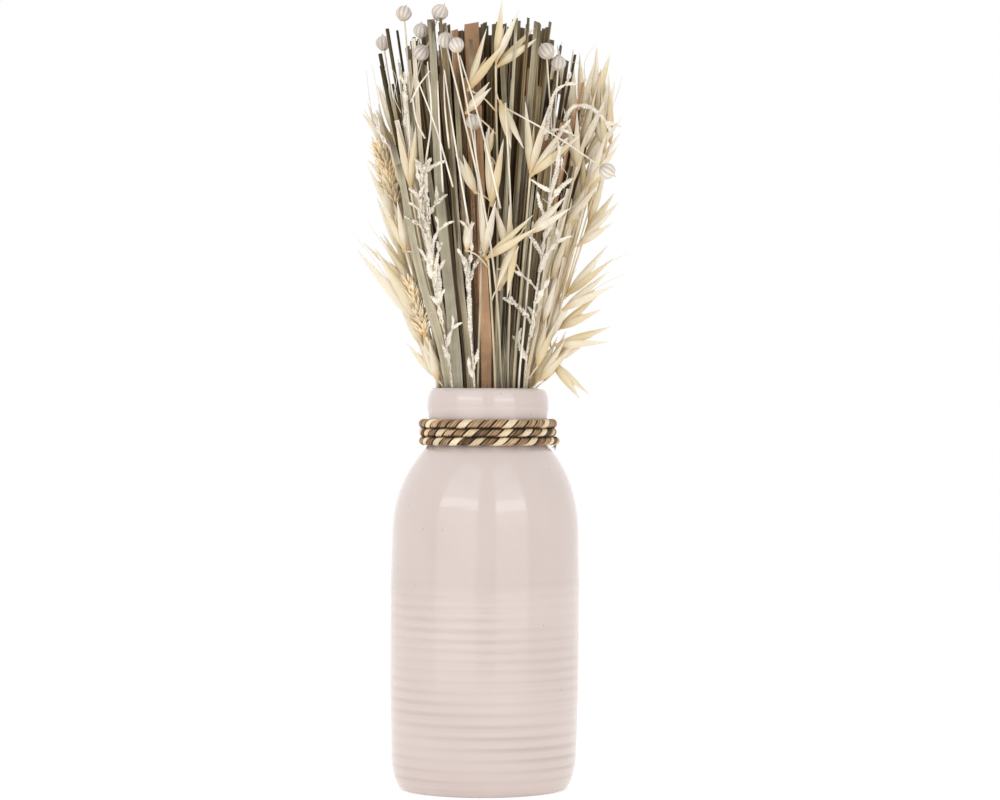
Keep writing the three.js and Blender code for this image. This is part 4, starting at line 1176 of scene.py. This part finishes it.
class FLOWERS_OT_stalks(bpy.types.Operator):
    """Builds the dark stalks"""

    bl_idname = "flowers.stalks"
    bl_label = "Dark stalks"

    def execute(self, context):
        material = dried_fibre(
            # Dried bracken-brown stalk: dull, ribbed and nearly black in its grooves.
            "stalk_dried_dark", [(0, "2B2312"), (0.5, "5A4C33"), (1, "8A7A58")],
            root="4A3D2F", root_reach=0.2, point="4A3E28", point_reach=0.04,
            fibre=0.5, streak=26, relief=0.2, spread=0.6, Specular_IOR_Level=0.25)
        ribbed = circle(STALK_FACES) * (1 + 0.12 * np.cos(STALK_RIBS * angles(STALK_FACES)))[:, None]
        for name, stalks in DARK_STALKS.items():
            growth = Growth()
            for slot, tip, thick, tone in stalks:
                way = stem_way(slot, [], tip)
                radius = np.linspace(thick, 0.8 * thick, len(way))
                growth.skin(place(way, np.array([1.0, 0, 0]), radius[:, None, None] * ribbed), tone=tone)
            growth.make(f"{name}_ribbed", [material], "dark_stalk", solids_of(name))
        return {"FINISHED"}


def spikelet(growth, rng, base, side, lean, length, spread, width, inner=True):
    """Adds a pair of husks that open in a V of spread degrees, with the smaller floret between them."""
    outward = side[0]
    for half in (-0.5, 0.5):
        direction = leaned(side, lean + half * spread, 0.1 + 0.08 * half)
        # Each husk's back turns partly away from its mate.
        aside = unit(np.cross(direction, outward)) * (1 if half > 0 else -1)
        back = unit(outward + 0.55 * aside - direction * (outward @ direction))
        size = length * (1 - 0.08 * half)
        husk = husk_rings(base, direction, back, size, width * rng.uniform(0.85, 1.08),
                          width * HUSK_DEPTH, bow=rng.uniform(-0.8, 1.2))
        growth.skin(husk, tone=rng.uniform(0.3, 0.8))
    if inner:
        direction = leaned(side, lean + rng.uniform(-0.15, 0.15) * spread, 0.06)
        floret = husk_rings(base + 0.6 * direction, direction, outward, length * rng.uniform(0.55, 0.7),
                            width * 0.62, width * 0.3, bow=0.3)
        growth.skin(floret, tone=rng.uniform(0.0, 0.2))


# The outline of the knuckle that carries a spikelet's husks.
KNUCKLE = [(0.25, -0.9), (0.75, -0.3), (0.8, 0.5), (0.3, 1.2)]


def grow_oat(rng, husk_width, slot, vias, tip, facing, spikelets):
    """An oat stem with its spikelets on thin, curved stalks. Some of them end in an awn."""
    growth = Growth()
    way = stem_way(slot, vias, tip)
    growth.rod(way, 0.7, 0.42, tone=0.55, finish=1)
    side = side_of(facing)
    for x, y, z, lean, length, spread, *width in spikelets:
        base = np.array([x, y, z], float)
        reach = min(0.7 * math.hypot(x - tip[0], 6), LONGEST_STALK)
        root_z = z + reach if abs(lean) > HANGING_LEAN else z - reach
        root = at_height(way, min(max(root_z, FOOT_Z), way[-1, 2] - 0.5))
        middle = 0.5 * (root + base) + (0, 0, 1.5 if z > root_z else -0.8)
        growth.rod(smooth_way([root, middle, base], 7), 0.36, 0.3, 6, tone=0.5)
        along = leaned(side, lean)
        growth.skin(turned_rings(base, along, KNUCKLE, 8), tone=0.1)
        spikelet(growth, rng, base, side, lean, length, spread, width[0] if width else husk_width)
        if rng.random() < AWN_SHARE:
            start = base + along * length * 0.45
            bend = leaned(side, lean + rng.uniform(-14, 14), 0.2) * length
            awn = smooth_way([start, start + 0.4 * bend, start + 0.8 * bend + (0, 0, -1)], 8)
            growth.rod(awn, 0.14, 0.06, 5, tone=0.3)
    return growth


class FLOWERS_OT_oats(bpy.types.Operator):
    """Builds the oats, the large papery husks, and the loose husks and narrow leaves among them"""

    bl_idname = "flowers.oats"
    bl_label = "Oats"

    def execute(self, context):
        settings = context.scene.bouquet.oat
        husk = dried_fibre(
            # Bleached oat husk: smooth, thin and slightly see-through, gold at its base, with fine ribs
            # half a millimetre apart.
            "oat_husk_bleached",
            [(0.05, settings.gold), (0.35, "D8C59D"), (0.65, settings.cream), (1, "E9E0D0")],
            root=settings.gold, root_reach=0.3, point="E6DCCB", point_reach=0.3,
            fibre=0.55, streak=18, relief=0.1, blotch=0.04, spread=0.4, roughness=0.55,
            Subsurface_Weight=0.2, Subsurface_Radius=(1.0, 0.8, 0.5), Subsurface_Scale=0.0015)
        stalk = dried_fibre(
            # Oat straw: smooth, grey-tan low down in the bunch and bleached towards its end.
            "oat_straw_dried", [(0.1, "A08C68"), (0.6, "D8C7A2"), (1, "E9DCBF")],
            root="7A7056", root_from=0.5, root_reach=0.84, point="E6D7B4", point_reach=0.1,
            fibre=0.4, streak=20, relief=0.05, spread=0.4, roughness=0.6)
        husk_width = settings.husk_width / MM
        rng = np.random.default_rng(23)
        sprays = [(f"{name}_spray", name, plant) for name, plant in OATS.items()]
        for piece, node, plant in [*sprays, ("papery_husks", "husk_left", PAPERY_HUSKS)]:
            grow_oat(rng, husk_width, *plant).make(piece, [husk, stalk], "bleached_oat", [node])
        # Loose husks stand on stalks that come from inside the bunch.
        growth = Growth()
        for x, y, z, lean, length in LOOSE_HUSKS:
            base = np.array([x, y, z], float)
            inward = base + 0.6 * (np.array([0.4 * x, 0.4 * y, LIP_Z - 5]) - base)
            middle = 0.5 * (inward + base) + (0, 0, -0.8)
            growth.rod(smooth_way([inward, middle, base], 8), 0.3, 0.3, 6, tone=0.5)
            spikelet(growth, rng, base, side_of(0), lean, length, LOOSE_SPREAD, husk_width, inner=False)
        for slot, via, tip, start, end in BLEACHED_LEAVES:
            way = stem_way(slot, [via], tip, SMALL_STRIP_ROWS)
            leaf_strip(growth, way, rng.uniform(-20, 20), start, end, 0.6,
                       tone=rng.uniform(0.2, 0.6), thickness=0.22, twist=rng.uniform(-30, 30))
        growth.make("bleached_leaves", [husk, stalk], "bleached_oat")
        return {"FINISHED"}


class FLOWERS_OT_flax(bpy.types.Operator):
    """Builds the flax with its ribbed pods"""

    bl_idname = "flowers.flax"
    bl_label = "Flax"

    def execute(self, context):
        settings = context.scene.bouquet.flax
        stem = dried_fibre(
            # Bleached flax stem: thin and smooth, grey-tan low down and straw pale above.
            "flax_stem_bleached", [(0.05, "8F8468"), (0.35, "CDBFA4"), (0.65, "E4D8C2"), (1, "F1E8D8")],
            root="C9BB9F", root_reach=0.2, point="E4D8C2", point_reach=0.05,
            fibre=0.5, streak=20, relief=0.05, spread=0.4)
        pod = dried_fibre(
            # Bleached flax pod: papery and matt, with painted shade darkening the grooves between its ribs.
            "flax_pod_bleached", [(0.05, "ADA095"), (0.45, settings.pod), (1, "E4DBCF")],
            root="B7A690", root_reach=0.16, point="C4B5A6", point_reach=0.12,
            fibre=1.1, streak=7, relief=0.15, spread=0.3, roughness=0.8)
        rng = np.random.default_rng(5)
        for name, (slot, via, tip, branch_z, pods, at_tip) in FLAX.items():
            growth = Growth()
            way = stem_way(slot, [via], tip)
            growth.rod(way, 0.55, 0.36, 7, tone=np.interp(way[:, 2], [LIP_Z, 235], [0, 0.65]))
            ends = [(way[-1], unit(way[-1] - way[-2]))] if at_tip else []
            root = at_height(way, branch_z)
            for place_of_pod in pods:
                end = np.array(place_of_pod, float)
                middle = 0.5 * (root + end) + (0, 0, 1.2)
                growth.rod(smooth_way([root, middle, end], 14), 0.34, 0.34, 6, tone=0.65)
                ends.append((end, unit(end - middle)))
            for centre, direction in ends:
                # Pods nod, each its own way.
                self.pod(growth, rng, centre, unit(direction + rng.uniform(-0.6, 0.6, 3)), settings)
            growth.make(f"{name}_stem", [stem, pod], "bleached_flax", [name])
        return {"FINISHED"}

    def pod(self, growth, rng, centre, direction, settings):
        """A ribbed globe with a short nib, held by small sepals."""
        size = settings.pod_radius / MM * rng.uniform(0.94, 1.04)
        globe = [(math.cos(a), 0.96 * math.sin(a)) for a in np.radians(np.linspace(-88, 82, 15))]
        outline = size * np.array([*globe, (0.09, 1.02), (0.05, 1.22)])
        sides = settings.ribs * RIB_FACES
        # Painted shade: the tone drops along each groove between the ribs.
        grooves = np.abs(np.cos(settings.ribs * angles(sides) / 2)) ** 4
        tone = rng.uniform(0.5, 0.7) - 0.55 * grooves[None]
        rings = turned_rings(centre, direction, outline, sides, settings.ribs, rib_depth=0.07)
        growth.skin(rings, tone=tone, finish=1)
        for outward in spokes(direction, (0.3, 0.2, 0.9), angles(SEPALS)):
            base = centre - 1.02 * size * direction + 0.3 * outward
            reach = unit(0.95 * outward + 0.5 * direction)
            back = unit(outward - 0.8 * direction)
            growth.skin(husk_rings(base, reach, back, size * 0.95, 1.3, 0.3, bow=-0.9, rows=6), tone=0.3)


class FLOWERS_OT_canary(bpy.types.Operator):
    """Builds the golden canary-grass heads"""

    bl_idname = "flowers.canary"
    bl_label = "Canary grass"

    def execute(self, context):
        settings = context.scene.bouquet.oat
        material = dried_fibre(
            # Dried canary-grass bracts: satin gold with pale, papery edges and points.
            "canary_bract_dried", [(0.05, "D8B47A"), (0.5, settings.canary), (1, "F3E5C6")],
            root="C9A267", root_reach=0.3, point="F3E9D2", point_reach=0.5,
            fibre=0.6, streak=8, relief=0.12, spread=0.5, roughness=0.6)
        rng = np.random.default_rng(31)
        for name, (slot, foot, heading, length, radius, thick, rows) in CANARY_GRASS.items():
            growth = Growth()
            way = stem_way(slot, [], foot, rows)
            growth.rod(way, thick, thick - 0.2, tone=0.7)
            along = unit(np.array(heading) if heading else way[-1] - way[-2])
            self.head(growth, rng, way[-1], along, length, radius)
            growth.make(f"{name}_head", [material], "golden_canary", solids_of(name))
        return {"FINISHED"}

    def head(self, growth, rng, base, along, length, radius):
        """A spindle of overlapping narrow bracts in a spiral, each drawn out into a fine bristle."""
        outline = [(0.3, -1), (radius * 0.75, length * 0.12), (radius * 0.9, length * 0.45),
                   (radius * 0.55, length * 0.8), (0.3, length * 0.96)]
        growth.skin(turned_rings(base, along, outline, 10), tone=0.45)
        for number, outward in enumerate(spokes(along, (0, 1, 0.2), GOLDEN_ANGLE * np.arange(BRACTS))):
            share = number / BRACTS
            thick = radius * math.sin(math.pi * (0.12 + 0.74 * share)) ** 0.6
            root = base + along * length * (0.02 + 0.86 * share) + outward * thick * 0.6
            direction = unit(along + outward * (0.8 - 0.4 * share) + rng.uniform(-0.2, 0.2, 3))
            bract = husk_rings(root, direction, unit(outward - along * 0.3), rng.uniform(3.6, 6), 1.5, 0.35,
                               bow=rng.uniform(-0.4, 0.9), rows=6)
            growth.skin(bract, tone=rng.uniform(0.25, 0.9))


def winged_twig(growth, rng, points, width, tooth, tone, fork=True):
    """Adds a flat, slightly wavy ribbon with fine sawtooth edges along the points, at times forked."""
    length = distances(np.array(points, float))[-1]
    rows = max(9, round(ROWS_TO_A_TOOTH * length / tooth))
    way = smooth_way(points, rows)
    t = np.linspace(0, 1, rows)
    run = t * length
    taper = (0.6 + 0.4 * np.sin(math.pi * np.clip(t * 1.1, 0, 1) ** 0.8)) * (1 - 0.75 * ease(t, 0.85, 1))
    u = np.linspace(-1, 1, 7)
    # The teeth point ahead, and those of one edge stand between those of the other.
    teeth = (run[:, None] / tooth + 0.5 * (u > 0) + rng.uniform(0, 1)) % 1
    ragged = 0.58 + 0.42 * teeth**1.4 + 0.1 * np.sin(run / 1.7)[:, None]
    x = 0.5 * width * taper[:, None] * np.where(np.abs(u) > 0.9, ragged, 0.72) * u
    wave = np.sin(run[:, None] * 1.3 + 1.5 * np.sign(u)) * np.abs(u)
    rise = width * (0.14 * wave + 0.08 * (1 - u**2))
    turn = rng.uniform(-25, 25) + 35 * np.sin(t * 2.5 + rng.uniform(0, 6))
    sides = twisted(way, unit(np.cross(way[-1] - way[0], (0.1, 1, 0.1))), turn)
    growth.skin(sheet_rings(way, sides, x, rise, 0.2), tone=tone)
    if fork:
        ahead = unit(way[-1] - way[-3])
        for turn in (-1, 1):
            aside = unit(np.cross(ahead, (0.1, 1, 0.1))) * turn
            reach = rng.uniform(3, 6)
            end = way[-2] + reach * (ahead + aside * rng.uniform(0.3, 0.9))
            bend = 0.5 * (way[-2] + end) + 0.4 * ahead
            points = [way[-2] - 0.8 * ahead, bend, end]
            winged_twig(growth, rng, points, width * 0.7, tooth, tone, fork=False)


class FLOWERS_OT_statice(bpy.types.Operator):
    """Builds the white winged statice"""

    bl_idname = "flowers.statice"
    bl_label = "Statice"

    def execute(self, context):
        settings = context.scene.bouquet.statice
        material = dried_fibre(
            # Bleached statice wing: chalk white and crinkled, with grey-brown specks in its folds.
            "statice_wing_bleached",
            [(0.12, "463B2F"), (0.27, "AC9E88"), (0.46, settings.white), (1, "F0E8DB")],
            root="CDBFA9", root_reach=0.12, point="E6DCCD", point_reach=0.2,
            fibre=0.7, streak=1.4, relief=0.2, spread=1.5, roughness=0.88)
        rng = np.random.default_rng(41)
        tooth = settings.tooth / MM
        for name, (slot, via, tip, facing, twigs) in STATICE.items():
            growth = Growth()
            side = side_of(facing)
            way = stem_way(slot, [via], tip, 60)
            growth.rod(way, 0.6, 0.45, 7, tone=0.42)
            # The stem's own wings are widest where the twigs are.
            winged = way[way[:, 2] > max(tip[2] - 30, min(height for height, _, _ in twigs))]
            winged_twig(growth, rng, winged[:: max(1, len(winged) // 7)], 2.4, tooth, 0.5, fork=False)
            for height, lean, length in twigs:
                root = at_height(way, min(height, way[-1, 2] - 0.3))
                direction = leaned(side, lean, 0.2)
                sway = leaned(side, lean + rng.uniform(-22, 22), rng.uniform(0, 0.35))
                end = root + length * (0.6 * direction + 0.4 * sway)
                points = [root, root + 0.5 * length * direction, end]
                winged_twig(growth, rng, points, rng.uniform(2.0, 3.2), tooth, rng.uniform(0.35, 0.75),
                            fork=rng.random() < FORKED_SHARE)
            growth.make(f"{name}_wings", [material], "white_statice", [name])
        growth = Growth()
        for points in CURLED_TWIGS:
            winged_twig(growth, rng, points, 2.4, tooth, 0.55)
        growth.make("statice_curled", [material], "white_statice")
        return {"FINISHED"}


class FLOWERS_OT_straws(bpy.types.Operator):
    """Builds the thin pale straws and the finest hairs"""

    bl_idname = "flowers.straws"
    bl_label = "Straws"

    def execute(self, context):
        material = dried_fibre(
            # Bleached straw: smooth, faintly shiny and cream white.
            "straw_bleached", [(0.1, "CDBD9F"), (0.6, "EDE2CB"), (1, "F7F1E4")],
            root="D2C3A4", root_reach=0.1, point="EDE2CB", point_reach=0.05,
            fibre=0.4, streak=20, relief=0.04, spread=0.4, roughness=0.5)
        growth = Growth()
        slot, via, tip = STRAW_FRONT
        growth.rod(stem_way(slot, [via], tip, 36), 0.6, 0.4, tone=0.7)
        growth.make("straw_front_stem", [material], "pale_straw", ["straw_front"])
        growth = Growth()
        for points in CROSSING_STRAWS:
            growth.rod(smooth_way(points, 16), 0.42, 0.28, 7, tone=0.8)
        for points in FINE_HAIRS:
            growth.rod(smooth_way(points, 10), 0.16, 0.08, 5, tone=0.4)
        growth.make("straws_crossing", [material], "pale_straw")
        return {"FINISHED"}


class FLOWERS_OT_stage(bpy.types.Operator):
    """Sets the pale floor, the two softboxes and their tubes, the white backdrop and the camera"""

    bl_idname = "flowers.stage"
    bl_label = "Stage"

    def execute(self, context):
        settings = context.scene.bouquet.stage
        scene = context.scene
        scene.view_settings.view_transform = "Standard"
        mesh = bpy.data.meshes.new("floor")
        corners = [(x * FLOOR_REACH, y * FLOOR_REACH, 0) for x, y in ((-1, -1), (1, -1), (1, 1), (-1, 1))]
        mesh.from_pydata(corners, [], [(0, 1, 2, 3)])
        floor = bpy.data.objects.new("floor", mesh)
        scene.collection.objects.link(floor)
        # Opal acrylic lit from below: matt, nearly white, with a faint glow of its own. Its tone drifts a
        # little over almost a metre.
        material, tree, shader = new_material("acrylic_opal", Roughness=0.9, IOR=1.49,
                                              Emission_Strength=0.33, Emission_Color=(1, 1, 1, 1))
        clouds = add_node(tree, "TexNoise", {"Scale": 3.0})
        colour = add_node(tree, "ValToRGB", {"Fac": clouds},
                          stops=[(0.3, [0.99 * c for c in settings.floor]), (0.7, settings.floor)])
        feed(tree, shader, {"Base Color": colour})
        mesh.materials.append(material)

        # Two tall softboxes in front of the vase, each with a cooler tube across it and a glow around that.
        for side, azimuth, width, tube_z in SOFTBOXES:
            for name, distance, middle, tall, brightness in (
                ("softbox", 0.5, 0.52, 1.03, settings.softbox),
                ("glow", 0.495, tube_z + 0.03, 0.34, settings.glow),
                ("tube", 0.49, tube_z, 0.09, settings.tube),
            ):
                light = bpy.data.lights.new(f"{name}_{side}", "AREA")
                light.shape = "RECTANGLE"
                light.size, light.size_y = width, tall
                light.energy = brightness * math.pi * width * tall
                light.color = (1, 1, 1) if name == "softbox" else settings.tube_colour
                lamp = bpy.data.objects.new(light.name, light)
                turn = math.radians(azimuth)
                lamp.location = (distance * math.sin(turn), -distance * math.cos(turn), middle)
                lamp.rotation_euler = (math.pi / 2, 0, turn)
                lamp.visible_camera = False
                scene.collection.objects.link(lamp)

        # A white backdrop stands behind the vase and arches over it, and the room in front is darker.
        world = bpy.data.worlds.new("room")
        world.use_nodes = True
        tree = world.node_tree
        tree.nodes.clear()
        direction = add_node(tree, "TexCoord")
        behind = add_node(tree, "VectorMath", {0: direction, 1: (0, 0.5, 0.46)}, operation="DOT_PRODUCT")
        depth = add_node(tree, "Math", {0: behind.outputs["Value"], 1: 0.5}, operation="ADD")
        backdrop = add_node(tree, "ValToRGB", {"Fac": depth},
                            stops=[(0.26, grey(0.2)), (0.42, grey(0.48)), (0.82, grey(0.78)), (1, grey(1))])
        seen = add_node(tree, "Background", {"Color": (1, 1, 1, 1), "Strength": 1.0})
        lit = add_node(tree, "Background", {"Color": backdrop, "Strength": settings.room})
        either = add_node(tree, "MixShader", {0: add_node(tree, "LightPath"), 1: lit, 2: seen})
        add_node(tree, "OutputWorld", {"Surface": either})
        scene.world = world

        camera = bpy.data.cameras.new("camera")
        camera.lens = CAMERA_LENS_MM
        camera.sensor_width = CAMERA_SENSOR_MM
        camera.clip_start = 0.05
        view = bpy.data.objects.new("camera", camera)
        view.location = CAMERA_PLACE
        view.rotation_euler = (math.pi / 2, 0, 0)
        scene.collection.objects.link(view)
        scene.camera = view
        return {"FINISHED"}


class FLOWERS_PT_panel(bpy.types.Panel):
    """Lists the pieces and their settings"""

    bl_idname = "FLOWERS_PT_panel"
    bl_label = "Dried flowers"
    bl_space_type = "VIEW_3D"
    bl_region_type = "UI"
    bl_category = "Dried flowers"

    def draw(self, context):
        for operator in OPERATORS:
            self.layout.operator(operator.bl_idname)
        for key in BouquetSettings.__annotations__:
            box = self.layout.box()
            box.label(text=key.capitalize())
            group = getattr(context.scene.bouquet, key)
            for name in type(group).__annotations__:
                box.prop(group, name)


OPERATORS = [
    FLOWERS_OT_vase, FLOWERS_OT_cord, FLOWERS_OT_leaf_strips, FLOWERS_OT_sheaths, FLOWERS_OT_stalks,
    FLOWERS_OT_oats, FLOWERS_OT_flax, FLOWERS_OT_canary, FLOWERS_OT_statice, FLOWERS_OT_straws,
    FLOWERS_OT_stage,
]
CLASSES = [
    VaseSettings, CordSettings, LeafSettings, OatSettings, FlaxSettings, StaticeSettings, StageSettings,
    BouquetSettings, *OPERATORS, FLOWERS_PT_panel,
]


def register():
    """Adds the settings, the operators and the panel."""
    for cls in CLASSES:
        bpy.utils.register_class(cls)
    bpy.types.Scene.bouquet = PointerProperty(type=BouquetSettings)


def unregister():
    """Takes them away again."""
    del bpy.types.Scene.bouquet
    for cls in reversed(CLASSES):
        bpy.utils.unregister_class(cls)


def main():
    """Builds every piece and the stage."""
    register()
    for operator in OPERATORS:
        group, name = operator.bl_idname.split(".")
        getattr(getattr(bpy.ops, group), name)()


if __name__ == "__main__":
    main()
